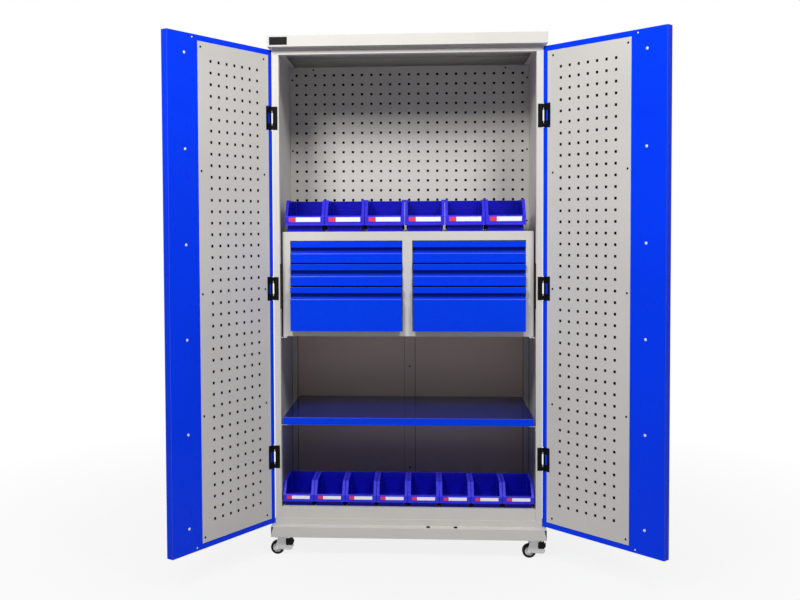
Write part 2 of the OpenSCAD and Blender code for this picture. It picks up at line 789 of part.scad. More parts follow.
module hinge_leaves() {
    arms = [hinge_window_h / 2, knuckle_h / 2];
    color(black)
        for (z = hinge_heights) translate([pin_x, 0, z]) difference() {
            union() {
                hinge_plate([door_in_y, door_in_y + hinge_t], arms);
                for (s = [0, 1]) mirror([0, 0, s])
                    translate([0, pin_y, arms[0]]) cylinder(h = arms[1] - arms[0], r = knuckle_r);
            }
            translate([0, pin_y, -knuckle_h / 2 - 1]) cylinder(h = knuckle_h + 2, r = pin_r + run_gap);
        }
}

// ---------------------------------------------------------------- doors

// Places of the screws round a door's pegboard
module at_panel_screws() {
    for (x = [panel_x[0] + hinge_side_in, panel_x[1] - panel_screw_in],
         k = [0:panel_screw_rows - 1])
        translate([x, 0, panel_z[0] + panel_screw_end
                   + k * (panel_h - 2 * panel_screw_end) / (panel_screw_rows - 1)]) children();
}

// Places of the plugs along the band
module at_plugs() {
    for (k = [0:plug_count - 1])
        translate([door_free - plug_in, 0, door_bottom + plug_bottom
                   + k * (door_h - plug_top - plug_bottom) / (plug_count - 1)]) children();
}

// Places of the small plugs near the top and bottom edges
module at_lip_plugs() {
    for (z = [door_bottom + lip_plug_end, door_top - lip_plug_end])
        translate([door_free - lip_plug_in, 0, z]) children();
}

module hinge_notches(depth) {
    for (z = hinge_heights)
        block([door_edge - 1, pin_x + notch_r], [door_in_y - depth, door_in_y + 1],
              [z - notch_h / 2, z + notch_h / 2]);
}

module door_skin() {
    x = [door_edge, door_free];
    y = [door_out_y, door_in_y];
    z = [door_bottom, door_top];
    wall_x = window_x[1];
    color(blue) difference() {
        block(x, y, z);
        block([x[0] + sheet_t, wall_x], [y[0] + sheet_t, y[1] - sheet_t],
              [z[0] + sheet_t, z[1] - sheet_t]);
        block([wall_x + sheet_t, x[1] - sheet_t], [y[0] + sheet_t, y[1] - sheet_t],
              [z[0] + sheet_t, z[1] - sheet_t]);
        block(window_x, [y[1] - 2 * sheet_t, y[1] + 1], window_z);
        hinge_notches(notch_r);
        at_hinge_screws() bar_y(0, [door_in_y - sheet_t - 1, door_in_y + 1], 0,
                                hinge_screw_r + screw_clear);
        at_panel_screws() bar_y(0, [door_in_y - sheet_t - 1, door_in_y + 1], 0,
                                panel_screw_r + screw_clear);
        at_plugs() bar_y(0, [door_in_y - sheet_t - 1, door_in_y + 1], 0, plug_stem_r);
        at_lip_plugs() bar_y(0, [door_in_y - sheet_t - 1, door_in_y + 1], 0, lip_plug_stem_r);
    }
}

module door_pegboard() {
    color(grey) difference() {
        pegboard(panel_x, panel_z, door_in_y, peg_t, door_peg_first, peg_edge, peg_edge);
        for (z = hinge_heights)
            block([panel_x[0] - 1, pin_x + hinge_reach + 1], [door_in_y - 1, door_in_y + peg_t + 1],
                  [z - notch_h / 2, z + notch_h / 2]);
        at_panel_screws() bar_y(0, [door_in_y - 1, door_in_y + peg_t + 1], 0,
                                panel_screw_r + screw_clear);
    }
}

// A plug or screw with its head on the cabinet side of a door
module door_stud(y, r, length, wide_r, thick) {
    bar_y(0, [y - length, y], 0, r);
    bar_y(0, [y, y + thick], 0, wide_r);
}

module door_fixings() {
    color(black) {
        at_hinge_screws() bar_y(0, [door_in_y - hinge_screw_l, door_in_y + hinge_t], 0, hinge_screw_r);
        at_panel_screws() door_stud(door_in_y + peg_t, panel_screw_r, screw_l, head_r, flat_head_h);
    }
    color(white) {
        at_plugs() door_stud(door_in_y, plug_stem_r, plug_l, plug_d / 2, plug_head_h);
        at_lip_plugs() door_stud(door_in_y, lip_plug_stem_r, plug_l, lip_plug_r, plug_head_h);
    }
}

module door_left_skin() { left_door() door_skin(); }
module door_left_pegboard() { left_door() door_pegboard(); }
module door_left_hinge_leaves() { left_door() hinge_leaves(); }
module door_left_fixings() { left_door() door_fixings(); }

module door_right_skin() {
    color(blue) right_door() difference() {
        door_skin();
        bar_y(shaft_x, [door_out_y - 1, door_out_y + sheet_t + 1], door_mid, shaft_r + run_gap);
        translate([upper_rod_x, lock_y, door_top - sheet_t - 1])
            cylinder(h = sheet_t + 2, r = rod_r + run_gap);
        translate([-rod_in, lock_y, door_bottom - 1]) cylinder(h = sheet_t + 2, r = rod_r + run_gap);
    }
}

module door_right_pegboard() { right_door() door_pegboard(); }
module door_right_hinge_leaves() { right_door() hinge_leaves(); }
module door_right_fixings() { right_door() door_fixings(); }

// ---------------------------------------------------------------- lock

module handle_base() {
    color(black) right_door() difference() {
        block([shaft_x - handle_base_w / 2, shaft_x + handle_base_w / 2],
              [door_out_y - handle_base_t, door_out_y],
              [door_mid - handle_base_h / 2, door_mid + handle_base_h / 2]);
        bar_y(shaft_x, [door_out_y - handle_base_t - 1, door_out_y + 1], door_mid, shaft_r + run_gap);
    }
}

module handle_lever() {
    face = door_out_y - handle_base_t - slide_gap;
    inner = door_in_y - sheet_t - shaft_end_gap;
    color(black) right_door() {
        bar_y(shaft_x, [face - lever_gap, face], door_mid, lever_boss_r);
        bar_y(shaft_x, [face - eps, inner], door_mid, shaft_r);
        block([shaft_x - lever_l, shaft_x], [face - lever_gap - lever_t, face - lever_gap],
              [door_mid - lever_w / 2, door_mid + lever_w / 2]);
        bar_y(shaft_x, [face - lever_gap - lever_t, face - lever_gap], door_mid, lever_boss_r);
    }
}

module pinion_outline() {
    root = pitch_r - tooth_in;
    half = tooth_pitch / 4 - backlash;
    circle(r = root);
    for (k = [0:pinion_teeth - 1]) rotate(k * 360 / pinion_teeth)
        polygon([[root * 0.8, -half * 1.35], [root, -half * 1.3], [pitch_r, -half],
                 [pitch_r + tooth_out, -half * 0.45], [pitch_r + tooth_out, half * 0.45],
                 [pitch_r, half], [root, half * 1.3], [root * 0.8, half * 1.35]]);
}

module lock_pinion() {
    color(steel) right_door() translate([shaft_x, lock_y + rack_t / 2, door_mid])
        rotate([90, 0, 0]) difference() {
            linear_extrude(height = rack_t) pinion_outline();
            translate([0, 0, -1]) cylinder(h = rack_t + 2, r = shaft_r + seam);
        }
}

// Rack teeth that point towards -X from the pitch line, with a space at z = 0
module rack(z) {
    slope = tan(20);
    half = tooth_pitch / 4 - backlash;
    tip = half - tooth_out * slope;
    base = half + tooth_in * slope;
    first = ceil(z[0] / tooth_pitch);
    last = floor(z[1] / tooth_pitch) - 1;
    translate([0, rack_t / 2, 0]) rotate([90, 0, 0]) linear_extrude(height = rack_t) {
        translate([tooth_in, z[0]]) square([2 * rod_r, z[1] - z[0]]);
        for (k = [first:last]) translate([0, (k + 0.5) * tooth_pitch])
            polygon([[-tooth_out, -tip], [-tooth_out, tip], [tooth_in, base], [tooth_in + 1, base],
                     [tooth_in + 1, -base], [tooth_in, -base]]);
    }
}

module lock_rod_upper() {
    top = door_top - rod_end_gap;
    color(steel) right_door() translate([shaft_x, lock_y, door_mid]) {
        translate([pitch_r, 0, 0]) rack([-rack_reach - rod_travel, rack_reach]);
        translate([rod_off, 0, rack_reach - 1])
            cylinder(h = top - door_mid - rack_reach + 1, r = rod_r);
    }
}

module lock_rod_lower() {
    bottom = door_bottom + rod_end_gap;
    color(steel) right_door() translate([shaft_x, lock_y, door_mid]) {
        mirror([1, 0, 0]) translate([pitch_r, 0, 0]) rack([-rack_reach, rack_reach + rod_travel]);
        translate([-rod_off, 0, bottom - door_mid])
            cylinder(h = door_mid - bottom - rack_reach + 1, r = rod_r);
    }
}

module lock_case() {
    half_w = rod_off + rod_r + slide_gap;
    cover_y = lock_y + rack_t / 2 + slide_gap;
    color(steel) right_door() translate([shaft_x, 0, door_mid]) difference() {
        block([-half_w - sheet_t, half_w + sheet_t], [door_out_y + sheet_t, cover_y + sheet_t],
              [-lock_case_h / 2, lock_case_h / 2]);
        block([-half_w, half_w], [door_out_y + 2 * sheet_t, cover_y],
              [-lock_case_h / 2 - 1, lock_case_h / 2 + 1]);
        bar_y(0, [door_out_y, cover_y + sheet_t + 1], 0, shaft_r + run_gap);
    }
}

// ---------------------------------------------------------------- bins

// An open-front bin of width w, depth d and height h, with its front at y = 0.
// Its rim runs along the front, up the slant and along the top.
module bin(w, d, h, lip, slant, foot) {
    body_w = w - 2 * bin_rim_w;
    rise = atan2(h - lip, slant);
    outer = [[foot_back, 0], [d, 0], [d, h], [slant, h], [0, lip], [0, foot], [foot_back, foot]];
    rim = [[0, foot], [0, lip], [slant, h], [d, h], [d, h - bin_t],
           [slant + bin_t * tan(rise / 2), h - bin_t], [bin_t, lip - bin_t * tan(45 - rise / 2)],
           [bin_t, foot]];
    inner = [[foot_back + bin_t, bin_t], [d - bin_t, bin_t], [d - bin_t, h + 1], [bin_t, h + 1],
             [bin_t, foot + bin_t], [foot_back + bin_t, foot + bin_t]];
    color(bin_blue) difference() {
        union() {
            bin_slice(body_w) polygon(outer);
            bin_slice(w) polygon(rim);
            block([-w / 2, w / 2], [-bead_out, 0], [foot, foot + bead_h]);
        }
        bin_slice(body_w - 2 * bin_t) polygon(inner);
    }
}

// A side view in Y and Z made w wide about x = 0
module bin_slice(w) {
    translate([-w / 2, 0, 0]) rotate([90, 0, 90]) linear_extrude(height = w) children();
}

module bin_upper(i) {
    w = upper_pitch - bin_gap;
    translate([-case_w / 2 + upper_row_in + i * upper_pitch + w / 2, case_y + upper_row_back, case_top])
        bin(w, upper_d, upper_h, upper_lip, upper_slant, upper_foot);
}

module bin_lower(i) {
    w = lower_pitch - bin_gap;
    translate([-post_x + lower_row_in + i * lower_pitch + w / 2,
               front_y + 2 * sheet_t + lower_row_back, floor_z])
        bin(w, lower_d, lower_h, lower_lip, lower_slant, lower_foot);
}

// ---------------------------------------------------------------- casters

// Place of a caster's swivel axis at the corner x, y = -1 or +1
module at_caster(end, side) {
    translate([side * caster_x, end * caster_y, 0]) children();
}

module caster_plates() {
    color(steel) for (end = [-1, 1], side = [-1, 1]) at_caster(end, side) {
        difference() {
            block([-plate_w / 2, plate_w / 2], [-plate_w / 2, plate_w / 2],
                  [caster_h - plate_t, caster_h]);
            for (i = [-1, 1], j = [-1, 1])
                translate([i * (plate_w / 2 - bolt_in), j * (plate_w / 2 - bolt_in),
                           caster_h - plate_t - 1])
                    cylinder(h = plate_t + 2, r = bolt_r + screw_clear);
        }
        translate([0, 0, crown_z[0] - king_head_h]) {
            cylinder(h = caster_h - crown_z[0] + king_head_h - eps, r = kingpin_r);
            cylinder(h = king_head_h - slide_gap, r = king_head_r);
        }
    }
}

// One cheek of a fork, drawn in X and Z
module cheek(braked) {
    top = crown_z[0] + 2;
    back = [[-crown_r + 2, top], [-trail - boss_r + 1, wheel_r + 3], [-trail, wheel_r - boss_r],
            [-trail + boss_r - 1, wheel_r - 3]];
    plain = [[2, crown_z[0] - 6], [crown_r - 4, crown_z[0] - 2], [crown_r - 4, top]];
    jaw = [[0, jaw_z[0]], [jaw_x - 7, jaw_z[0] - 1], [jaw_x, jaw_z[0] + 7], [jaw_x - 1, jaw_z[1]],
           [web_x + 3, jaw_z[1]], [web_x, jaw_z[1] + 4], [web_x, crown_z[0] - 5],
           [web_x + 5, crown_z[0]], [web_x + 5, top]];
    polygon(concat(back, braked ? jaw : plain));
    translate([-trail, wheel_r]) circle(r = boss_r);
}

module caster_fork(end, side) {
    braked = end < 0;
    cheek_y = wheel_w / 2 + fork_gap;
    color(white) at_caster(end, side) {
        difference() {
            union() {
                translate([0, 0, crown_z[0]]) cylinder(h = crown_z[1] - crown_z[0], r = crown_r);
                for (s = [-1, 1]) translate([0, s > 0 ? cheek_y + fork_t : -cheek_y, 0])
                    rotate([90, 0, 0]) linear_extrude(height = fork_t) cheek(braked);
            }
            translate([0, 0, crown_z[0] - 1]) cylinder(h = 20, r = kingpin_r + run_gap);
        }
        bar_y(-trail, [-cheek_y - fork_t - axle_out, cheek_y + fork_t + axle_out], wheel_r, axle_r);
        if (braked) bar_y(pedal_x, [-cheek_y - fork_t, cheek_y + fork_t], pedal_z, pedal_pin_r);
    }
}

module caster_wheel(end, side) {
    at_caster(end, side) translate([-trail, 0, wheel_r]) rotate([90, 0, 0]) {
        color(black) rotate_extrude($fn = 96) {
            translate([hub_r, -wheel_w / 2]) square([wheel_r - hub_r - tyre_round, wheel_w]);
            translate([hub_r, -wheel_w / 2 + tyre_round])
                square([wheel_r - hub_r, wheel_w - 2 * tyre_round]);
            for (s = [-1, 1]) translate([wheel_r - tyre_round, s * (wheel_w / 2 - tyre_round)])
                circle(r = tyre_round);
        }
        color(white) difference() {
            translate([0, 0, -wheel_w / 2 + 1]) cylinder(h = wheel_w - 2, r = hub_r - seam);
            translate([0, 0, -wheel_w / 2]) cylinder(h = wheel_w, r = axle_r + run_gap);
        }
    }
}

// A pedal that fills the space over the jaw, from its pin up to a blunt nose
module brake_pedal(side) {
    half = wheel_w / 2 + fork_gap - slide_gap;
    front = jaw_x + pedal_nose - pedal_r;
    color(black) at_caster(-1, side) difference() {
        translate([0, half, 0]) rotate([90, 0, 0]) linear_extrude(height = 2 * half) union() {
            translate([pedal_x, pedal_z]) circle(r = pedal_r);
            polygon([[web_x + 2, pedal_z + pedal_r], [pedal_x - pedal_r, pedal_z],
                     [pedal_x + pedal_r, pedal_z], [front, jaw_z[1] + 1],
                     [front + pedal_r, jaw_z[1] + 1 + pedal_r], [front + pedal_r, pedal_top - 2 * pedal_r],
                     [front, pedal_top], [web_x + 4, pedal_top], [web_x + 2, pedal_top - 2]]);
        }
        bar_y(pedal_x, [-half - 1, half + 1], pedal_z, pedal_pin_r + run_gap);
    }
}

module brake_pedal_left() { brake_pedal(-1); }
module brake_pedal_right() { brake_pedal(1); }

// ---------------------------------------------------------------- nodes

side_panel_left();
side_panel_right();
back_panel();
top_cap();
lintel_rail();
plinth_frame();
floor_pan();
rear_pegboard();
drawer_case();
shelf();
support_brackets();
slide_channels();
hinge_brackets();
caster_plates();
nameplate_blank();
cabinet_screws();
door_left_skin();
door_left_pegboard();
door_left_hinge_leaves();
door_left_fixings();
door_right_skin();
door_right_pegboard();
door_right_hinge_leaves();
door_right_fixings();
handle_base();
lock_case();
handle_lever();
lock_pinion();
lock_rod_upper();
lock_rod_lower();
for (s = SIDES, l = [0:2])
    drawer(s[1], l);
for (i = [0:upper_bins - 1])
    bin_upper(i);
for (i = [0:lower_bins - 1])
    bin_lower(i);
for (e = ENDS, s = SIDES)
    caster_fork(e[1], s[1]);
for (e = ENDS, s = SIDES)
    caster_wheel(e[1], s[1]);
brake_pedal_left();
brake_pedal_right();
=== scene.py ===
import json
import math

import bmesh
import bpy
from bpy.props import FloatProperty, FloatVectorProperty, IntProperty, PointerProperty
from mathutils import Matrix, Vector


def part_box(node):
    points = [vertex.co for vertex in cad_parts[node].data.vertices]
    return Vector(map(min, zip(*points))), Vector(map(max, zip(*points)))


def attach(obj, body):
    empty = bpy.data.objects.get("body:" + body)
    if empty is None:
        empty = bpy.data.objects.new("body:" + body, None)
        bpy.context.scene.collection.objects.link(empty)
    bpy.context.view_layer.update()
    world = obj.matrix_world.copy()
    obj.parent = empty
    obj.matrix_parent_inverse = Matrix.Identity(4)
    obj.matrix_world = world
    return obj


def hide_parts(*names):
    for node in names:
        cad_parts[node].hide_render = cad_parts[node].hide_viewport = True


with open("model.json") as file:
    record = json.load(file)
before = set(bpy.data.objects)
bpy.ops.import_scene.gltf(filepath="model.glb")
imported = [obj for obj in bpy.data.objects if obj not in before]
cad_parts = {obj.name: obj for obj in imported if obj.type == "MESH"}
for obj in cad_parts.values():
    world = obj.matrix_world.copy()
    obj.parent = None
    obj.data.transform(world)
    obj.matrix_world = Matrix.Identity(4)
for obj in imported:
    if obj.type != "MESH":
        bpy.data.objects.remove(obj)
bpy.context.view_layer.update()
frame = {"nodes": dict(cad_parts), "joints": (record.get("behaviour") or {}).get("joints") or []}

bl_info = {
    "name": "Tool Cabinet Looks",
    "version": (1, 0, 0),
    "blender": (4, 5, 0),
    "location": "View3D > Sidebar > Cabinet",
    "description": "Dresses the packed frame of a tool cabinet with swing doors",
    "category": "Object",
}

SIDES = (("left", -1), ("right", 1))
CORNERS = [f"{end}_{side}" for end in ("front", "rear") for side, _ in SIDES]
UPPER_BINS = [f"bin_upper_{i}" for i in range(1, 7)]
LOWER_BINS = [f"bin_lower_{i}" for i in range(1, 9)]
MM = 0.001
SHARP = math.radians(25)     # edges that turn more than this are rounded
SMALL = 0.1 * MM             # within this a point lies on a plane
SUNK = 2.5 * MM              # a fixing of less radius is a flush screw

# The body's inner faces, read off its right side
RIGHT_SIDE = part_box("side_panel_right")
POST_IN, POST_FRONT, BACK_IN = RIGHT_SIDE[0].x, RIGHT_SIDE[0].y, RIGHT_SIDE[1].y
SHEET = 1.5 * MM
REAR_POST = 28 * MM

# A closed left door: its outer face and its pegboard's lowest and highest corners
DOOR_BACK = -250 * MM
PANEL = (-480 * MM, -223 * MM, 136 * MM), (-135 * MM, -221.8 * MM, 1824 * MM)

# Pegboards' first row below the top, and the least margins at the foot and the sides
PANEL_GRID = (61 * MM, 50 * MM, 50 * MM)
REAR_GRID = (32 * MM, 6 * MM, 20 * MM)


def joint(name):
    """The frame's joint of that name."""
    return next(j for j in frame["joints"] if j["name"] == name)


def swing_of(side):
    """Pin position and resting angle, in radians, of a door."""
    swing = joint(f"door_{side}_swing")
    return Vector(swing["pos_m"]), math.radians(-swing["range_deg"][0])


def door_place(side):
    """Carries a point of the closed left door to where this door stands at rest."""
    pin, angle = swing_of(side)
    sign = -1 if side == "left" else 1
    turn = Matrix.Translation(pin) @ Matrix.Rotation(sign * angle, 4, "Z") @ Matrix.Translation(-pin)
    return turn if sign < 0 else turn @ Matrix.Scale(-1, 4, (1, 0, 0))


# ---------------------------------------------------------------- user settings

def paint(label, text, colour):
    return FloatVectorProperty(name=label, description=text, subtype="COLOR", size=3,
                               min=0, max=1, default=colour)


def length(label, text, value):
    return FloatProperty(name=label, description=text, unit="LENGTH", subtype="DISTANCE",
                         min=0, precision=5, default=value)


class CabinetColours(bpy.types.PropertyGroup):
    """Colours of the cabinet's finishes."""
    body: paint("Body", "Powder coat of the body and the pegboards", (0.64, 0.62, 0.575))
    door: paint("Doors", "Powder coat of the doors", (0.0, 0.045, 0.94))
    drawer: paint("Drawers", "Powder coat of the drawers and the shelf", (0.0, 0.045, 0.80))
    bins: paint("Bins", "Plastic of the bins", (0.005, 0.005, 0.42))
    black: paint("Black parts", "Coating of hinges and screws", (0.004, 0.004, 0.0045))
    zinc: paint("Zinc", "Plated runners, clips and rods", (0.62, 0.63, 0.65))
    card: paint("Card", "Blank strip of a bin's card", (0.93, 0.91, 0.95))
    card_end: paint("Card end", "Coloured end of a bin's card", (0.72, 0.03, 0.10))


class CabinetSizes(bpy.types.PropertyGroup):
    """Sizes of the details that the frame leaves to the looks."""
    fold: length("Fold radius", "Rounding of folded sheet edges", 0.6 * MM)
    recess: length("Recess radius", "Rounding inside a drawer's finger recess", 8 * MM)
    drawer_lip: length("Drawer lip", "Rolled edge under the finger recess", 3 * MM)
    moulded: length("Moulded radius", "Rounding of plastic edges", 0.8 * MM)
    peg_pitch_x: length("Peg pitch across", "Distance between peg holes across", 38 * MM)
    peg_pitch_z: length("Peg pitch up", "Distance between peg holes up", 38.9 * MM)
    peg_hole: length("Peg hole", "Side of a square peg hole", 9.5 * MM)
    peg_corner: length("Peg corner", "Corner radius of a peg hole", 1.8 * MM)
    peg_rim: length("Peg rim", "Width of the punched rim in a peg hole", 0.5 * MM)
    upper_card: length("Upper card height", "Height of an upper bin's card", 17 * MM)
    lower_card: length("Lower card height", "Height of a lower bin's card", 12.5 * MM)
    grip_ribs: IntProperty(name="Grip ribs", description="Ribs across a brake pedal",
                           min=2, max=12, default=5)


class StageSettings(bpy.types.PropertyGroup):
    """Light, floor and camera."""
    left: FloatProperty(name="Left light", description="Power of the soft light high on the left",
                        unit="POWER", min=0, default=60)
    right: FloatProperty(name="Right light", description="Power of the soft light high on the right",
                         unit="POWER", min=0, default=58)
    sky: FloatProperty(name="Sky", description="Strength of the even light from all round",
                       min=0, default=0.10)
    lens: FloatProperty(name="Lens", description="Focal length", unit="CAMERA", min=1,
                        default=43.62)


# ---------------------------------------------------------------- materials

def feed(tree, value, socket):
    """Puts a number into a socket, or links the output of a node to it."""
    if isinstance(value, bpy.types.NodeSocket):
        tree.links.new(value, socket)
    else:
        socket.default_value = value


def maths(tree, operation, a, b, clamp=False):
    """The result of a Math node on two numbers or outputs."""
    made = tree.nodes.new("ShaderNodeMath")
    made.operation = operation
    made.use_clamp = clamp
    feed(tree, a, made.inputs[0])
    feed(tree, b, made.inputs[1])
    return made.outputs[0]


class Finish:
    """A material under construction around one Principled shader."""

    def __init__(self, name, colour, roughness, metallic=0.0):
        self.material = bpy.data.materials.new(name)
        self.material.use_nodes = True
        self.nodes = self.material.node_tree.nodes
        self.links = self.material.node_tree.links
        self.shader = self.nodes["Principled BSDF"]
        self.shader.inputs["Base Color"].default_value = (*colour, 1)
        self.shader.inputs["Roughness"].default_value = roughness
        self.shader.inputs["Metallic"].default_value = metallic
        self.colour = colour
        self.material.diffuse_color = (*colour, 1)

    def add(self, kind, **values):
        made = self.nodes.new(kind)
        for name, value in values.items():
            if hasattr(made, name):
                setattr(made, name, value)
            else:
                made.inputs[name.replace("_", " ").title()].default_value = value
        return made

    def where(self, stretch=(1, 1, 1)):
        """Object coordinates, stretched along the axes."""
        coordinates = self.add("ShaderNodeTexCoord")
        mapping = self.add("ShaderNodeMapping", scale=stretch)
        self.links.new(coordinates.outputs["Object"], mapping.inputs["Vector"])
        return mapping.outputs["Vector"]

    def noise(self, scale, detail=2.0, stretch=(1, 1, 1)):
        made = self.add("ShaderNodeTexNoise", scale=scale, detail=detail)
        self.links.new(self.where(stretch), made.inputs["Vector"])
        return made.outputs["Fac"]

    def spread(self, value, low, high, start=0.3, end=0.7):
        made = self.add("ShaderNodeMapRange")
        for name, number in (("From Min", start), ("From Max", end), ("To Min", low), ("To Max", high)):
            made.inputs[name].default_value = number
        self.links.new(value, made.inputs["Value"])
        return made.outputs["Result"]

    def clouded(self, scale, darker, lighter, stretch=(1, 1, 1)):
        """Lets the colour drift between two shades."""
        mix = self.add("ShaderNodeMix", data_type="RGBA")
        mix.inputs[6].default_value = (*[c * darker for c in self.colour], 1)
        mix.inputs[7].default_value = (*[min(1, c * lighter) for c in self.colour], 1)
        self.links.new(self.spread(self.noise(scale, 3, stretch), 0, 1), mix.inputs[0])
        self.links.new(mix.outputs[2], self.shader.inputs["Base Color"])
        return self

    def rough(self, scale, low, high, stretch=(1, 1, 1)):
        self.links.new(self.spread(self.noise(scale, 2, stretch), low, high),
                       self.shader.inputs["Roughness"])
        return self

    def grain(self, scale, depth, strength=1.0, detail=2.0, stretch=(1, 1, 1)):
        """Fine relief, depth metres deep."""
        bump = self.add("ShaderNodeBump")
        bump.inputs["Strength"].default_value = strength
        bump.inputs["Distance"].default_value = depth
        self.links.new(self.noise(scale, detail, stretch), bump.inputs["Height"])
        self.links.new(bump.outputs["Normal"], self.shader.inputs["Normal"])
        return self

    def set(self, values):
        for name, value in values.items():
            self.shader.inputs[name].default_value = value
        return self


def lighter(colour, amount):
    """The colour, that share of the way to white."""
    return tuple(c + (1 - c) * amount for c in colour)


def specular(level):
    return {"Specular IOR Level": level}


def make_finishes():
    """Every material by its name."""
    c = bpy.context.scene.cabinet_colours
    made = {}

    def powder(name, colour, peel=0.00006, low=0.30, high=0.42, shine=0.2):
        finish = Finish(name, colour, 0.35).clouded(2.4, 0.95, 1.03)
        finish.rough(24, low, high).grain(520, peel, 0.35)
        made[name] = finish.set(specular(shine)).material

    powder("body_powder_coat", c.body)
    # Rounded edges get a lighter, glossier copy of each coat: partly the coat worn thin at the edges,
    # partly a painted highlight.
    powder("body_edge_wear_and_painted_highlight", lighter(c.body, 0.18), low=0.26, high=0.36)
    # Painted light: a warmer, brighter copy of the body coat for the back below the pegboard, standing
    # in for how the light falls there.
    powder("back_painted_warm_light", tuple(min(1, a * b) for a, b in zip(c.body, (1.28, 1.08, 0.92))))
    powder("door_powder_coat", c.door, low=0.26, high=0.36, shine=0.08)
    powder("door_edge_wear_and_painted_highlight", lighter(c.door, 0.06), low=0.22, high=0.30, shine=0.15)
    powder("drawer_powder_coat", c.drawer, low=0.24, high=0.34, shine=0.08)
    powder("drawer_edge_wear_and_painted_highlight", lighter(c.drawer, 0.05), low=0.20, high=0.28, shine=0.3)
    # Painted shade: a darker copy of the drawer coat for the upper faces inside the finger recess.
    powder("drawer_recess_painted_shade", tuple(0.4 * v for v in c.drawer), low=0.3, high=0.4, shine=0.05)
    # Painted shade: the shelf's top is a much darker copy of the drawer coat, standing in for the shade
    # under the drawers.
    powder("shelf_top_painted_shade", tuple(0.22 * v for v in c.drawer), 0.00002, 0.06, 0.12, 0.6)
    # name, colour, roughness, metallic; clouded, rough, grain and shader values
    for name, colour, rough, metal, cloud, gloss, relief, values in (
            ("bin_plastic", c.bins, 0.25, 0, (9, 0.9, 1.1), (60, 0.18, 0.30),
             (900, 0.00003, 0.3), specular(0.12)),
            # Painted highlight: a lighter copy of the bin plastic for rims, flanges and edges, standing
            # in for light showing through them.
            ("bin_rim_painted_highlight", (0.035, 0.03, 0.70), 0.3, 0, (30, 0.9, 1.15), (90, 0.25, 0.38),
             (900, 0.00003, 0.3), specular(0.15)),
            ("black_coat", c.black, 0.5, 0, (40, 0.8, 1.3), (120, 0.42, 0.58),
             (700, 0.00005, 0.4), specular(0.06)),
            ("black_plastic", lighter(c.black, 0.003), 0.5, 0, (60, 0.8, 1.25), (150, 0.42, 0.6),
             (1400, 0.00006, 0.5), specular(0.12)),
            ("zinc_plate", c.zinc, 0.3, 1, (70, 0.86, 1.05), (50, 0.25, 0.42, (1, 0.08, 1)),
             (600, 0.00002, 0.4, 2.0, (1, 0.05, 1)), {}),
            ("bright_chrome", (0.80, 0.81, 0.83), 0.1, 1, (50, 0.95, 1.0), (200, 0.06, 0.16),
             None, {}),
            # Painted shade: near black for the faces hidden behind the pegboards, standing in for the
            # dark cavity seen through the holes.
            ("cavity_painted_shade", (0.01, 0.01, 0.011), 0.8, 0, (20, 0.8, 1.2), (60, 0.7, 0.9),
             None, specular(0.1)),
            # Near black: on the peg holes' rims it is painted shade in the holes, on the back's seams
            # the dark joints.
            ("rim_painted_shade_and_joint_dark", (0.012, 0.012, 0.012), 0.7, 0, (300, 0.7, 1.3), (400, 0.6, 0.8),
             None, specular(0.1)),
            ("tyre_rubber", (0.012, 0.012, 0.012), 0.7, 0, (80, 0.7, 1.6), (160, 0.6, 0.85),
             (1500, 0.00008, 0.6), specular(0.15)),
            ("hub_plastic", (0.74, 0.74, 0.73), 0.4, 0, (60, 0.93, 1.03), (120, 0.35, 0.5),
             (900, 0.00003, 0.3), {}),
            ("fork_plate", (0.66, 0.66, 0.65), 0.35, 0.35, (60, 0.9, 1.04), (90, 0.28, 0.45),
             (500, 0.00004, 0.4), {}),
            ("plug_plastic", (0.80, 0.81, 0.84), 0.35, 0, (120, 0.95, 1.02), (200, 0.3, 0.42),
             None, {}),
            ("card_paper", c.card, 0.6, 0, (220, 0.96, 1.02), None, (1600, 0.00004, 0.4), {}),
            ("card_end_paper", c.card_end, 0.55, 0, (260, 0.9, 1.1), None,
             (1600, 0.00004, 0.4), {}),
            ("plate_black", (0.006, 0.006, 0.006), 0.25, 0, (50, 0.8, 1.3), (180, 0.2, 0.34),
             None, {**specular(0.06), "Coat Weight": 0.04, "Coat Roughness": 0.1})):
        finish = Finish(name, colour, rough, metal).clouded(*cloud)
        if gloss:
            finish.rough(*gloss)
        if relief:
            finish.grain(*relief)
        made[name] = finish.set(values).material
    return made


FINISH = {}


def dress(node, finish):
    """Gives a frame node that stays as it is its finish."""
    mesh = frame["nodes"][node].data
    mesh.materials.clear()
    mesh.materials.append(FINISH[finish])


# ---------------------------------------------------------------- mesh workshop

def linked(name, data):
    """A new object in the scene."""
    made = bpy.data.objects.new(name, data)
    bpy.context.scene.collection.objects.link(made)
    return made


def baked(holder, name):
    """The plain mesh that an object's modifier makes; the modifier and the object go."""
    graph = bpy.context.evaluated_depsgraph_get()
    mesh = bpy.data.meshes.new_from_object(holder.evaluated_get(graph), depsgraph=graph)
    holder.modifiers.clear()
    bpy.data.objects.remove(holder)
    mesh.name = name
    return mesh


def new_piece(name, mesh, body, replaces=()):
    """Links a finished mesh as a piece that rides on a body."""
    piece = linked(name, mesh)
    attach(piece, body)
    if replaces:
        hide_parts(*replaces)


def islands(bm):
    """Lists of faces that hang together."""
    left = set(bm.faces)
    found = []
    while left:
        stack = [left.pop()]
        group = []
        while stack:
            face = stack.pop()
            group.append(face)
            for edge in face.edges:
                for other in edge.link_faces:
                    if other in left:
                        left.remove(other)
                        stack.append(other)
        found.append(group)
    return found


def span(faces):
    """Lowest and highest corner of some faces."""
    points = [v.co for f in faces for v in f.verts]
    return (Vector(min(p[i] for p in points) for i in range(3)),
            Vector(max(p[i] for p in points) for i in range(3)))


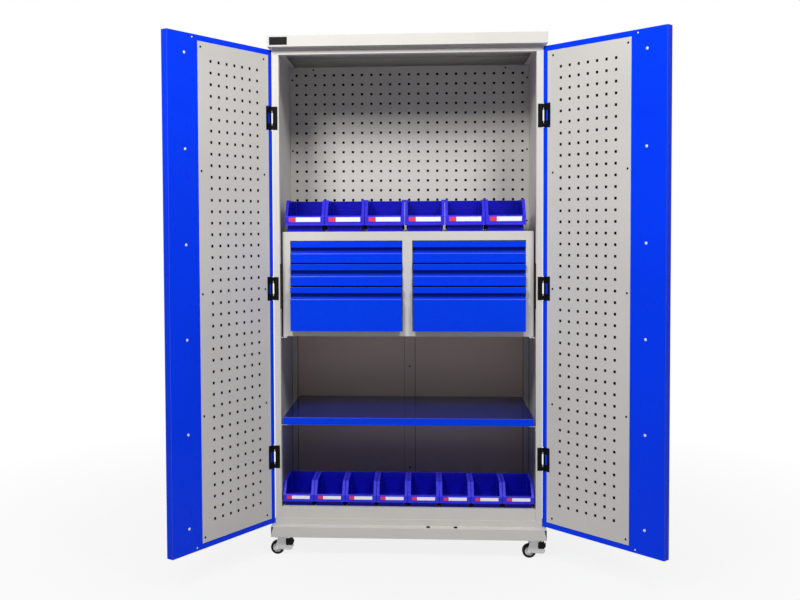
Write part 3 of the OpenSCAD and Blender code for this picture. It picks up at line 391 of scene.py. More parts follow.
def round_edges(bm, faces, radius, material, hollows=True):
    """Rounds the sharp edges of some faces, the new faces in that material slot.

    hollows says whether inner corners are filled too.
    """
    edges = {e for f in faces for e in f.edges
             if len(e.link_faces) == 2 and e.calc_face_angle(0) > SHARP
             and (hollows or e.is_convex)}
    bmesh.ops.bevel(bm, geom=list(edges), offset=radius, offset_type="OFFSET", segments=2,
                    profile=0.5, affect="EDGES", clamp_overlap=False, material=material)


def copied(node):
    """A merged copy of a frame node's mesh, in a bmesh."""
    bm = bmesh.new()
    bm.from_mesh(frame["nodes"][node].data)
    bmesh.ops.remove_doubles(bm, verts=bm.verts, dist=0.00001)
    bmesh.ops.dissolve_limit(bm, angle_limit=math.radians(0.5), verts=bm.verts, edges=bm.edges)
    return bm


def put(name, bm, finishes, body, replaces=()):
    """Ends a bmesh as a piece, shaded smooth but for its large flat faces."""
    mesh = bpy.data.meshes.new(name)
    for finish in finishes:
        mesh.materials.append(FINISH[finish])
    bm.to_mesh(mesh)
    bm.free()
    mesh.shade_smooth()
    holder = linked(name, mesh)
    weighted = holder.modifiers.new("Even", "WEIGHTED_NORMAL")
    weighted.keep_sharp = True
    weighted.weight = 100
    new_piece(name, baked(holder, name), body, replaces)


def soften(node, body, name, radius, finishes, tint=None, split=None, hollows=True):
    """Stands in for a node with a copy whose edges are rounded.

    finishes start with the faces' and the edges' finish. tint gives a face another one,
    counted from the last, or 0 to leave it. split is a height at which the faces are parted
    first, and hollows goes to round_edges.
    """
    bm = copied(node)
    if split is not None:
        bmesh.ops.bisect_plane(bm, geom=list(bm.verts) + list(bm.edges) + list(bm.faces),
                               plane_co=(0, 0, split), plane_no=(0, 0, 1))
    for face in bm.faces:
        face.material_index = 0
    round_edges(bm, list(bm.faces), radius, 1, hollows)
    for face in bm.faces:
        if tint and face.material_index == 0:
            back = tint(face.calc_center_median(), face.normal)
            if back:
                face.material_index = len(finishes) - back
    put(name, bm, finishes, body, [node])


def add_block(bm, a, b, material=0):
    """A block between two opposite corners."""
    made = bmesh.ops.create_cube(bm, size=1)["verts"]
    low, high = Vector(map(min, a, b)), Vector(map(max, a, b))
    bmesh.ops.scale(bm, vec=high - low, verts=made)
    bmesh.ops.translate(bm, vec=(low + high) / 2, verts=made)
    faces = list({f for v in made for f in v.link_faces})
    for face in faces:
        face.material_index = material
    return faces


def settle(bm, faces, material):
    """Turns new faces outwards and puts them into a material slot."""
    bmesh.ops.recalc_face_normals(bm, faces=faces)
    for face in faces:
        face.material_index = material
    return faces


def add_prism(bm, outline, a, b, material=0):
    """An outline of y and z pairs carried along X between a and b."""
    rings = [[bm.verts.new((x, y, z)) for y, z in outline] for x in sorted((a, b))]
    faces = [bm.faces.new(rings[0]), bm.faces.new(rings[1])]
    count = len(outline)
    for i in range(count):
        j = (i + 1) % count
        faces.append(bm.faces.new((rings[0][i], rings[0][j], rings[1][j], rings[1][i])))
    return settle(bm, faces, material)


def ribbon(path, thick):
    """The outline of a strip that lies along a path and is thick upwards."""
    top = []
    for i, point in enumerate(path):
        a = Vector(path[max(i - 1, 0)])
        b = Vector(path[min(i + 1, len(path) - 1)])
        along = (b - a).normalized()
        top.append(Vector(point) + Vector((-along.y, along.x)) * thick)
    return [tuple(p) for p in path] + [tuple(p) for p in reversed(top)]


def add_lathe(bm, profile, centre, axis="Y", steps=48, material=0):
    """A profile of (radius, height) pairs turned about an axis, closed where it meets it."""
    rings = []
    for radius, height in profile:
        if radius < 1e-7:
            rings.append([bm.verts.new((0, 0, height))])
        else:
            rings.append([bm.verts.new((radius * math.cos(2 * math.pi * k / steps),
                                        radius * math.sin(2 * math.pi * k / steps), height))
                          for k in range(steps)])
    faces = []
    for a, b in zip(rings, rings[1:]):
        for k in range(steps):
            corners = [a[k % len(a)], a[(k + 1) % len(a)], b[(k + 1) % len(b)], b[k % len(b)]]
            unique = list(dict.fromkeys(corners))
            if len(unique) > 2:
                faces.append(bm.faces.new(unique))
    verts = [v for ring in rings for v in ring]
    turn = Matrix.Rotation(math.radians(90), 4, "X") if axis == "Y" else Matrix.Identity(4)
    bmesh.ops.transform(bm, matrix=Matrix.Translation(centre) @ turn, verts=verts)
    return settle(bm, faces, material)


# ---------------------------------------------------------------- geometry nodes

class Pattern:
    """A geometry node tree under construction, with named inputs."""

    def __init__(self, name, **inputs):
        self.tree = bpy.data.node_groups.new(name, "GeometryNodeTree")
        self.sockets = {}
        self.tree.interface.new_socket("Geometry", in_out="INPUT", socket_type="NodeSocketGeometry")
        kinds = {float: "NodeSocketFloat", int: "NodeSocketInt", str: "NodeSocketMaterial"}
        for key, value in inputs.items():
            label = key.replace("_", " ").title()
            socket = self.tree.interface.new_socket(label, in_out="INPUT",
                                                    socket_type=kinds[type(value)])
            if not isinstance(value, str):
                socket.default_value = value
            self.sockets[key] = socket.identifier
        self.tree.interface.new_socket("Geometry", in_out="OUTPUT", socket_type="NodeSocketGeometry")
        self.start = self.tree.nodes.new("NodeGroupInput")
        self.end = self.tree.nodes.new("NodeGroupOutput")

    def of(self, key):
        """The output of a named input."""
        return next(o for o in self.start.outputs if o.identifier == self.sockets[key])

    def add(self, kind, links=None, **settings):
        made = self.tree.nodes.new(kind)
        for name, value in settings.items():
            setattr(made, name, value)
        for name, value in (links or {}).items():
            feed(self.tree, value, made.inputs[name])
        return made

    def maths(self, operation, a, b):
        return maths(self.tree, operation, a, b)

    def vector(self, x=0.0, y=0.0, z=0.0):
        return self.add("ShaderNodeCombineXYZ", {"X": x, "Y": y, "Z": z}).outputs[0]

    def finish(self, geometry):
        """Ends the tree in real faces with the named material."""
        real = self.add("GeometryNodeRealizeInstances", {"Geometry": geometry})
        painted = self.add("GeometryNodeSetMaterial",
                           {"Geometry": real.outputs[0], "Material": self.of("finish")})
        self.tree.links.new(painted.outputs[0], self.end.inputs[0])
        return self

    def grow(self, name, seed_mesh=None, place=None, **values):
        """Runs the tree on a seed mesh and returns the plain mesh that it makes."""
        holder = linked(name, seed_mesh or bpy.data.meshes.new(name + "_seed"))
        modifier = holder.modifiers.new("Pattern", "NODES")
        modifier.node_group = self.tree
        for key, value in values.items():
            modifier[self.sockets[key]] = FINISH[value] if isinstance(value, str) else value
        mesh = baked(holder, name)
        if place is not None:
            mesh.transform(place)
            if place.determinant() < 0:
                mesh.flip_normals()
        return mesh


def rim_pattern():
    """A grid of drawn rims for square peg holes, in X and Z, centred on the origin."""
    p = Pattern("peg_hole_rims", columns=7, rows=41, pitch_x=0.038, pitch_z=0.0389, side=0.0095,
                corner=0.0018, rim=0.0007, thick=0.0015, finish="")
    grid = p.add("GeometryNodeMeshGrid", {
        "Size X": p.maths("MULTIPLY", p.maths("SUBTRACT", p.of("columns"), 1), p.of("pitch_x")),
        "Size Y": p.maths("MULTIPLY", p.maths("SUBTRACT", p.of("rows"), 1), p.of("pitch_z")),
        "Vertices X": p.of("columns"), "Vertices Y": p.of("rows")})
    inner = p.maths("SUBTRACT", p.of("side"), p.of("rim"))
    square = p.add("GeometryNodeCurvePrimitiveQuadrilateral", {"Width": inner, "Height": inner})
    soft = p.add("GeometryNodeFilletCurve", {
        "Curve": square.outputs[0], "Radius": p.of("corner"), "Count": 2}, mode="POLY")
    section = p.add("GeometryNodeCurvePrimitiveQuadrilateral", {
        "Width": p.maths("ADD", p.of("rim"), 0.0002), "Height": p.of("thick")})
    ring = p.add("GeometryNodeCurveToMesh", {
        "Curve": soft.outputs[0], "Profile Curve": section.outputs[0]})
    placed = p.add("GeometryNodeInstanceOnPoints", {
        "Points": grid.outputs[0], "Instance": ring.outputs[0]})
    upright = p.add("GeometryNodeTransform", {
        "Geometry": placed.outputs[0], "Rotation": (math.radians(90), 0, 0)})
    return p.finish(upright.outputs[0])


def head_pattern(name, recess):
    """Heads on points: a low dome, with a cross recess if that is asked for.

    The points carry aim, the way the head faces, size, its radius, and height.
    """
    p = Pattern(name, dome=0.62, slot=0.26, finish="")
    ball = p.add("GeometryNodeMeshUVSphere", {"Segments": 20, "Rings": 10, "Radius": 1.0})
    skirt = p.add("GeometryNodeMeshCube", {"Size": (3.0, 3.0, 2.0)})
    low = p.add("GeometryNodeTransform", {
        "Geometry": skirt.outputs[0],
        "Translation": p.vector(z=p.maths("SUBTRACT", p.maths("MULTIPLY", p.of("dome"), 0.5), 1.0))})
    cutters = [low.outputs[0]]
    if recess:
        for turn in (0, 90):
            bar = p.add("GeometryNodeMeshCube", {"Size": p.vector(1.15, p.of("slot"), 0.5)})
            cutters.append(p.add("GeometryNodeTransform", {
                "Geometry": bar.outputs[0], "Translation": (0, 0, 1.0),
                "Rotation": (0, 0, math.radians(turn))}).outputs[0])
    head = ball.outputs[0]
    for cutter in cutters:
        cut = p.add("GeometryNodeMeshBoolean", {"Mesh 1": head}, operation="DIFFERENCE")
        p.tree.links.new(cutter, cut.inputs["Mesh 2"])
        head = cut.outputs[0]
    seated = p.add("GeometryNodeTransform", {
        "Geometry": head,
        "Translation": p.vector(z=p.maths("MULTIPLY", p.of("dome"), -0.5))})
    squat = p.add("GeometryNodeTransform", {
        "Geometry": seated.outputs[0], "Scale": (1.054, 1.054, 1.45)})
    aim = p.add("GeometryNodeInputNamedAttribute", {"Name": "aim"}, data_type="FLOAT_VECTOR")
    size = p.add("GeometryNodeInputNamedAttribute", {"Name": "size"}, data_type="FLOAT_VECTOR")
    turned = p.add("FunctionNodeAlignRotationToVector", {"Vector": aim.outputs[0]}, axis="Z")
    placed = p.add("GeometryNodeInstanceOnPoints", {
        "Points": p.start.outputs[0], "Instance": squat.outputs[0],
        "Rotation": turned.outputs[0], "Scale": size.outputs[0]})
    return p.finish(placed.outputs[0])


def rib_pattern():
    """A row of rounded ribs along X, each lying along Y, from the origin."""
    p = Pattern("grip_ribs", count=5, pitch=0.003, width=0.012, radius=0.0008, finish="")
    line = p.add("GeometryNodeMeshLine", {
        "Count": p.of("count"), "Offset": p.vector(x=p.of("pitch"))})
    rib = p.add("GeometryNodeMeshCylinder", {
        "Vertices": 10, "Radius": p.of("radius"), "Depth": p.of("width")})
    lying = p.add("GeometryNodeTransform", {
        "Geometry": rib.outputs[0], "Rotation": (math.radians(90), 0, 0)})
    placed = p.add("GeometryNodeInstanceOnPoints", {
        "Points": line.outputs[0], "Instance": lying.outputs[0]})
    return p.finish(placed.outputs[0])


def points_mesh(name, heads):
    """A seed mesh for head_pattern from (place, aim, radius, height) rows."""
    mesh = bpy.data.meshes.new(name)
    mesh.from_pydata([tuple(h[0]) for h in heads], [], [])
    aim = mesh.attributes.new("aim", "FLOAT_VECTOR", "POINT")
    size = mesh.attributes.new("size", "FLOAT_VECTOR", "POINT")
    for i, (_, way, radius, height) in enumerate(heads):
        aim.data[i].vector = way
        size.data[i].vector = (radius, radius, height)
    return mesh


def found_heads(node, way):
    """(place, radius, rise, whole length) of each fixing of a node whose head faces that way.

    place is on the face that the head sits on.
    """
    way = Vector(way).normalized()
    bm = copied(node)
    rows = []
    for group in islands(bm):
        verts = {v for f in group for v in f.verts}
        deep = [v.co.dot(way) for v in verts]
        top = max(deep)
        centre = sum((v.co for v in verts), Vector()) / len(verts)
        off = [(v.co - centre - way * (v.co - centre).dot(way)).length for v in verts]
        wide = max(off)
        under = min(d for d, r in zip(deep, off) if r > wide * 0.98)
        rows.append((centre + way * (under - centre.dot(way)), wide, top - under, top - min(deep)))
    bm.free()
    return rows


# ---------------------------------------------------------------- operators

BODY_SHEETS = ("side_panel_left", "side_panel_right", "back_panel", "top_cap", "lintel_rail",
               "plinth_frame", "floor_pan", "drawer_case")
ZINC_PARTS = ("support_brackets", "slide_channels", "caster_plates")
# The second finish of each pair goes on rounded edges; for the powder coats it is lighter, partly wear
# and partly a painted highlight.
GREY_PAIR = ("body_powder_coat", "body_edge_wear_and_painted_highlight")
BLUE_PAIR = ("door_powder_coat", "door_edge_wear_and_painted_highlight")
DRAWER_PAIR = ("drawer_powder_coat", "drawer_edge_wear_and_painted_highlight")
ZINC_PAIR = ("zinc_plate", "zinc_plate")
BLACK_PAIR = ("black_coat", "black_coat")
PLASTIC_PAIR = ("black_plastic", "black_plastic")


def sizes():
    """The sizes that the user has set."""
    return bpy.context.scene.cabinet_sizes


class CABINET_OT_finishes(bpy.types.Operator):
    """Make the cabinet's paints, plastics and metals"""
    bl_idname = "cabinet.finishes"
    bl_label = "Finishes"

    def execute(self, context):
        FINISH.update(make_finishes())
        return {"FINISHED"}


class CABINET_OT_body(bpy.types.Operator):
    """Fold the sheets of the body with rounded, powder-coated edges"""
    bl_idname = "cabinet.body"
    bl_label = "Body sheets"

    def execute(self, context):
        fold = sizes().fold
        low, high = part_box("rear_pegboard")

        def back_tint(at, way):
            """Painted shade on the back behind the pegboard, and a warmer, brighter copy of the coat
            below it as painted light.
            """
            if way.y > -0.9 or at.y < high.y or abs(at.x) > high.x - 20 * MM:
                return 0
            return 1 if at.z > low.z else 2

        for node in BODY_SHEETS:
            back = node == "back_panel"
            soften(node, "cabinet", node + "_folded", fold,
                   GREY_PAIR + (("back_painted_warm_light", "cavity_painted_shade") if back else ()),
                   tint=back_tint if back else None, split=low.z if back else None)
        self.seams(low.z)
        for node in ZINC_PARTS:
            soften(node, "cabinet", node + "_pressed", fold * 0.6, ZINC_PAIR)
        # The shelf's upward faces take the dark, glossy top coat: painted shade.
        soften("shelf", "cabinet", "shelf_folded", fold * 2, DRAWER_PAIR + ("shelf_top_painted_shade",),
               tint=lambda at, way: int(way.z > 0.9))
        return {"FINISHED"}

    def seams(self, top):
        """Dark joint lines beside the back's cover strip and round the rear posts."""
        foot, wide, strip_edge = 178 * MM, 1.3 * MM, 21.5 * MM
        bm = bmesh.new()
        for side in (-1, 1):
            strip = wide if side > 0 else wide * 0.6
            for x, y, w in ((strip_edge + strip, BACK_IN, strip), (POST_IN, BACK_IN, wide),
                            (RIGHT_SIDE[1].x - SHEET, BACK_IN - REAR_POST, wide)):
                add_block(bm, (side * x, y - wide, foot), (side * (x - w), y, top))
        put("back_seams", bm, ["rim_painted_shade_and_joint_dark"], "cabinet")


class CABINET_OT_pegboards(bpy.types.Operator):
    """Coat the pegboards and put the punched rim, painted near black as the shade in the hole, into
    each of their square holes
    """
    bl_idname = "cabinet.pegboards"
    bl_label = "Pegboards"

    def execute(self, context):
        s = sizes()
        pattern = rim_pattern()
        boards = [("rear", "cabinet", Matrix(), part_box("rear_pegboard"), REAR_GRID)]
        boards += [(f"door_{side}", f"door_{side}", door_place(side), PANEL, PANEL_GRID)
                   for side, _ in SIDES]
        for name, body, place, (low, high), (first, foot, edge) in boards:
            dress(name + "_pegboard", "body_powder_coat")
            low, high = Vector(low), Vector(high)
            wide, thick, tall = high - low
            columns = 1 + int((wide - 2 * edge) / s.peg_pitch_x)
            rows = 1 + int((tall - first - foot) / s.peg_pitch_z)
            middle = (low + high) / 2
            middle.z = high.z - first - (rows - 1) / 2 * s.peg_pitch_z
            mesh = pattern.grow(
                name + "_peg_rims", place=place @ Matrix.Translation(middle), columns=columns,
                rows=rows, pitch_x=s.peg_pitch_x, pitch_z=s.peg_pitch_z, side=s.peg_hole,
                corner=s.peg_corner, rim=s.peg_rim, thick=thick + 0.2 * MM, finish="rim_painted_shade_and_joint_dark")
            new_piece(name + "_peg_rims", mesh, body)
        return {"FINISHED"}


class CABINET_OT_doors(bpy.types.Operator):
    """Fold the door skins"""
    bl_idname = "cabinet.doors"
    bl_label = "Doors"

    def execute(self, context):
        outside = DOOR_BACK + 4 * MM
        for side, _ in SIDES:
            back = door_place(side).inverted()
            # The skin's inner face behind the pegboard is painted near black, as the shade seen through
            # the holes.
            soften(f"door_{side}_skin", f"door_{side}", f"door_{side}_folded", sizes().fold,
                   BLUE_PAIR + ("cavity_painted_shade",),
                   tint=lambda at, way: int((back.to_3x3() @ way).y > 0.9
                                            and (back @ at).y < outside))
        return {"FINISHED"}


class CABINET_OT_drawers(bpy.types.Operator):
    """Fold the drawers' fronts and boxes and plate their runners"""
    bl_idname = "cabinet.drawers"
    bl_label = "Drawers"

    def execute(self, context):
        for side, _ in SIDES:
            for level in ("top", "middle", "bottom"):
                fold_drawer(f"drawer_{side}_{level}")
        return {"FINISHED"}


def fold_drawer(node):
    """The drawer with a rolled lip under its finger recess and a rounded recess; the recess's upper
    faces are painted dark as shade, and the lip takes the lighter edge finish as a painted highlight.
    """
    bm = copied(node)
    front, deep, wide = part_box(node)[0].y, 12 * MM, 50 * MM     # runners are less than 50 mm wide
    for group in islands(bm):
        low, high = span(group)
        for face in group:
            face.material_index = 0 if high.x - low.x > wide else 2
    walls = [f.calc_center_median().z for f in bm.faces if abs(f.normal.z) > 0.9
             and abs(f.calc_center_median().y - front - deep / 2) < SMALL]
    sill, roof = min(walls), max(walls)

    def roll(y, z, radius, steps, paint_slot):
        edges = [e for e in bm.edges if e.calc_length() > wide and all(
            abs(v.co.y - y) < SMALL and abs(v.co.z - z) < SMALL for v in e.verts)]
        bmesh.ops.bevel(bm, geom=edges, offset=radius, offset_type="OFFSET", segments=steps,
                        profile=0.5, affect="EDGES", clamp_overlap=False, material=paint_slot)

    roll(front + deep, sill, sizes().recess, 6, 0)
    # The lip's rounding takes the lighter edge finish, a painted highlight.
    roll(front, sill, sizes().drawer_lip, 5, 1)
    roll(front, roof, sizes().drawer_lip / 2, 5, 0)
    # The faces under the recess's roof and on its upper back wall get the darker coat: painted shade.
    for face in bm.faces:
        at, way = face.calc_center_median(), face.normal
        inside = front + 1 * MM < at.y < front + deep + SMALL and sill < at.z < roof + SMALL
        if inside and (way.z < -0.5 or (way.y < -0.8 and at.z > sill + sizes().recess * 0.6)):
            face.material_index = 4
    for slot in (0, 2):
        faces = [f for f in bm.faces if f.material_index == slot]
        round_edges(bm, faces, sizes().fold * 0.8, slot + 1)
    put(node + "_folded", bm, (*DRAWER_PAIR, *ZINC_PAIR, "drawer_recess_painted_shade"), node,
        [node])


class CABINET_OT_bins(bpy.types.Operator):
    """Mould the open-front bins with rims, a lip and a blank card"""
    bl_idname = "cabinet.bins"
    bl_label = "Bins"

    def execute(self, context):
        for node in UPPER_BINS + LOWER_BINS:
            mould_bin(node)
        return {"FINISHED"}


def mould_bin(node):
    """The bin's moulding with turned-down edges, ribs, a foot frame and a card; its rim, edges and
    frames are in a lighter plastic, a painted highlight.
    """
    low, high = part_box(node)
    w, _, h = high - low
    x, z = (low.x + high.x) / 2, low.z
    front, flange = low.y + 2.5 * MM, 8 * MM
    near, far = 11.2 * MM, 12.6 * MM         # the foot frame's depths behind the front
    half = w / 2 - flange
    bm = copied(node)
    plate = [v.co.z - z for v in bm.verts if abs(v.co.y - front) < SMALL]
    lip, foot = max(plate), min(plate)
    slant = min(v.co.y for v in bm.verts if v.co.z > high.z - SMALL) - front
    # Flanges, the lip's face, the top and forward-sloping faces get the lighter plastic: a painted
    # highlight.
    for face in bm.faces:
        at, way = face.calc_center_median(), face.normal
        face.material_index = int(abs(at.x - x) > half + SMALL or at.y < front + SMALL
                                  or at.z > high.z - SMALL or (way.y < -0.3 and way.z > 0.3))
    round_edges(bm, list(bm.faces), sizes().moulded, 1)

    def bar(lo, hi, radius, paint_slot):
        faces = add_block(bm, (x + lo[0], front + lo[1], z + lo[2]),
                          (x + hi[0], front + hi[1], z + hi[2]), paint_slot)
        round_edges(bm, faces, radius, paint_slot)

    path = [(front + a, z + b) for a, b in ((0, lip), (slant, h), (high.y - front, h))]
    for s in (-1, 1):
        edge = x + s * w / 2
        rim = add_prism(bm, ribbon(path, -7 * MM), edge, edge - s * 1.6 * MM, 1)
        round_edges(bm, rim, 0.5 * MM, 1)
        for k in range(4):
            at = slant + k * (high.y - front - slant - 4 * MM) / 3
            bar((s * half, at - 1.2 * MM, 6 * MM),
                (s * (half + 3 * MM), at + 1.2 * MM, h - 2 * MM), 0.4 * MM, 0)
        bar((s * (half - 5 * MM), near, 3 * MM), (s * (half - 6.4 * MM), far, foot - 3 * MM),
            0.3 * MM, 1)
    bar((-half + 5 * MM, near, 2.6 * MM), (half - 5 * MM, far, 4 * MM), 0.3 * MM, 1)
    card_h = sizes().upper_card if node in UPPER_BINS else sizes().lower_card
    card_w = w - 2 * flange - 12 * MM
    split, top = 0.225 * card_w - card_w / 2, lip - 3 * MM
    for a, b, paint_slot in ((-card_w / 2, split, 3), (split, card_w / 2, 2)):
        add_block(bm, (x + a, front - 0.5 * MM, z + top - card_h),
                  (x + b, front + 0.2 * MM, z + top), paint_slot)
    end, under = card_w / 2, top - card_h - 1.5 * MM
    for s in (-1, 1):
        bar((s * (end - 0.6 * MM), -1.2 * MM, under), (s * (end + 2.4 * MM), 1 * MM, top),
            0.4 * MM, 1)
    bar((-end, -1.2 * MM, under), (end, 1 * MM, top - card_h + 0.6 * MM), 0.4 * MM, 1)
    bmesh.ops.recalc_face_normals(bm, faces=bm.faces)
    put(node + "_moulded", bm, ("bin_plastic", "bin_rim_painted_highlight", "card_paper", "card_end_paper"),
        node, [node])


class CABINET_OT_hinges(bpy.types.Operator):
    """Coat the hinge plates and their knuckles black"""
    bl_idname = "cabinet.hinges"
    bl_label = "Hinges"

    def execute(self, context):
        soften("hinge_brackets", "cabinet", "hinge_brackets_pressed", 0.35 * MM, BLACK_PAIR)
        for side, _ in SIDES:
            soften(f"door_{side}_hinge_leaves", f"door_{side}", f"door_{side}_hinge_leaves_pressed",
                   0.35 * MM, BLACK_PAIR)
        self.window_painted_shades()
        self.post_shadow_strips()
        return {"FINISHED"}

    def window_painted_shades(self):
        """Black sheet on the post in each hinge's window: painted shade, standing in for the shadow in
        the deep hinge box.
        """
        outer, inner, half = 484.6 * MM, 478.5 * MM, 20 * MM
        front, back = POST_FRONT - 0.5 * MM, POST_FRONT + 0.1 * MM
        bm = bmesh.new()
        brackets = copied("hinge_brackets")
        for group in islands(brackets):
            low, high = span(group)
            side, middle = (-1 if high.x < 0 else 1), (low.z + high.z) / 2
            add_block(bm, (side * outer, front, middle - half),
                      (side * inner, back, middle + half))
        brackets.free()
        put("hinge_window_painted_shade", bm, ["black_coat"], "cabinet")

    def post_shadow_strips(self):
        """Black strips on the posts' inner sides, beside the middle hinges: painted shadow of the
        hinges.
        """
        thick, below, above = 2 * MM, 74 * MM, 90 * MM
        front, back = POST_FRONT + 0.5 * MM, POST_FRONT + 29.5 * MM
        middle = sum(corner.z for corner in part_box("hinge_brackets")) / 2
        for side, sign in SIDES:
            bm = bmesh.new()
            strip = add_block(bm, (sign * POST_IN, front, middle - below),
                              (sign * (POST_IN - thick), back, middle + above))
            round_edges(bm, strip, 0.8 * MM, 0)
            put(f"post_painted_shadow_{side}", bm, ["black_plastic"], "cabinet")


class CABINET_OT_fixings(bpy.types.Operator):
    """Set screw heads, plugs and caster bolts"""
    bl_idname = "cabinet.fixings"
    bl_label = "Screws and plugs"

    def execute(self, context):
        screws = head_pattern("screw_heads", True)
        plugs = head_pattern("plug_heads", False)
        for side, _ in SIDES:
            node = f"door_{side}_fixings"
            way = (door_place(side).to_3x3() @ Vector((0, 1, 0))).normalized()
            white, black = [], []
            for place, wide, rise, deep in found_heads(node, way):
                if wide < SUNK:
                    black.append((place + way * (deep - 0.05 * MM), way, 3.6 * MM, 0.3 * MM))
                elif rise < 0.95 * MM:
                    black.append((place, way, wide * 1.1, 1.8 * MM))
                else:
                    white.append((place, way, wide, 1.6 * MM))
            for name, rows, pattern, finish, slot in (
                    (f"door_{side}_screw_heads", black, screws, "black_coat", "black_metal"),
                    (f"door_{side}_plugs", white, plugs, "plug_plastic", "black_metal")):
                mesh = pattern.grow(name, points_mesh(name + "_seed", rows), finish=finish)
                new_piece(name, mesh, f"door_{side}", [node])
        rows = []
        bolts = copied("cabinet_screws")
        for group in islands(bolts):
            low, high = span(group)
            if high.z - low.z > 12 * MM:
                continue
            middle = (low + high) / 2
            wide = (high.x - low.x) / 2
            flush = wide < SUNK
            rows.append((Vector((middle.x, low.y + (0.05 if flush else 1.4) * MM, middle.z)),
                         (0, -1, 0), 3.6 * MM, (0.3 if flush else 2.0) * MM))
            bmesh.ops.delete(bolts, geom=group, context="FACES")
        mesh = screws.grow("cabinet_screw_heads", points_mesh("cabinet_screw_seed", rows),
                           finish="black_coat")
        new_piece("cabinet_screw_heads", mesh, "cabinet", ["cabinet_screws"])
        round_edges(bolts, list(bolts.faces), 0.3 * MM, 1)
        put("caster_bolts", bolts, ZINC_PAIR, "cabinet", ["cabinet_screws"])
        self.bushings()
        return {"FINISHED"}

    def bushings(self):
        """Black bushings round the rod's hole and the spare hole in the ledge."""
        plinth = copied("plinth_frame")
        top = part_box("door_left_skin")[0].z - 4 * MM
        # The two holes lie between these depths and on either side of the parting
        front, back, parting, end = -240.5 * MM, -230 * MM, 120 * MM, 400 * MM
        ring = [v.co.copy() for v in plinth.verts
                if abs(v.co.z - top) < SMALL and front < v.co.y < back and 0 < v.co.x < end]
        plinth.free()
        bm = bmesh.new()
        shape = [(5, -1.4), (6, -1.4), (6, 0), (7, 0), (7, 1.6), (6.2, 3.2), (5.6, 3.2), (5, 2.6)]
        for rim in ([p for p in ring if p.x < parting], [p for p in ring if p.x > parting]):
            middle = sum(rim, Vector()) / len(rim)
            add_lathe(bm, [(r * MM, h * MM) for r, h in shape + shape[:1]], middle, axis="Z", steps=32)
        bmesh.ops.remove_doubles(bm, verts=bm.verts, dist=0.000001)
        bmesh.ops.recalc_face_normals(bm, faces=bm.faces)
        put("ledge_bushings", bm, ["black_plastic"], "cabinet")


class CABINET_OT_lock(bpy.types.Operator):
    """Finish the lever handle with its key barrel, and the rods inside the door"""
    bl_idname = "cabinet.lock"
    bl_label = "Lock"

    def execute(self, context):
        soften("handle_base", "door_right", "handle_base_moulded", 1.2 * MM, PLASTIC_PAIR)
        soften("handle_lever", "handle", "handle_lever_moulded", 1.6 * MM, PLASTIC_PAIR,
               hollows=False)
        soften("lock_case", "door_right", "lock_case_pressed", 0.4 * MM, ZINC_PAIR)
        for node in ("lock_pinion", "lock_rod_upper", "lock_rod_lower"):
            dress(node, "zinc_plate")
        lock = Vector((-57.845 * MM, -254 * MM, 934 * MM))      # mirrored on a closed left door
        bm = bmesh.new()
        barrel = [(0, -4.2), (1.2, -4.2), (1.2, -3.2), (7.2, -3.2), (8.2, -2.6), (8.2, 0.5), (0, 0.5)]
        add_lathe(bm, [(r * MM, h * MM) for r, h in barrel], (0, 0, 0), axis="Z", steps=40)
        slot = add_block(bm, (-0.8 * MM, -4 * MM, -3.5 * MM), (0.8 * MM, 4 * MM, -3.0 * MM), 1)
        round_edges(bm, slot, 0.2 * MM, 1)
        bm.transform(door_place("right") @ Matrix.Translation(lock)
                     @ Matrix.Rotation(math.radians(-90), 4, "X"))
        bmesh.ops.recalc_face_normals(bm, faces=bm.faces)
        put("key_barrel", bm, ("bright_chrome", "black_coat"), "door_right")
        return {"FINISHED"}


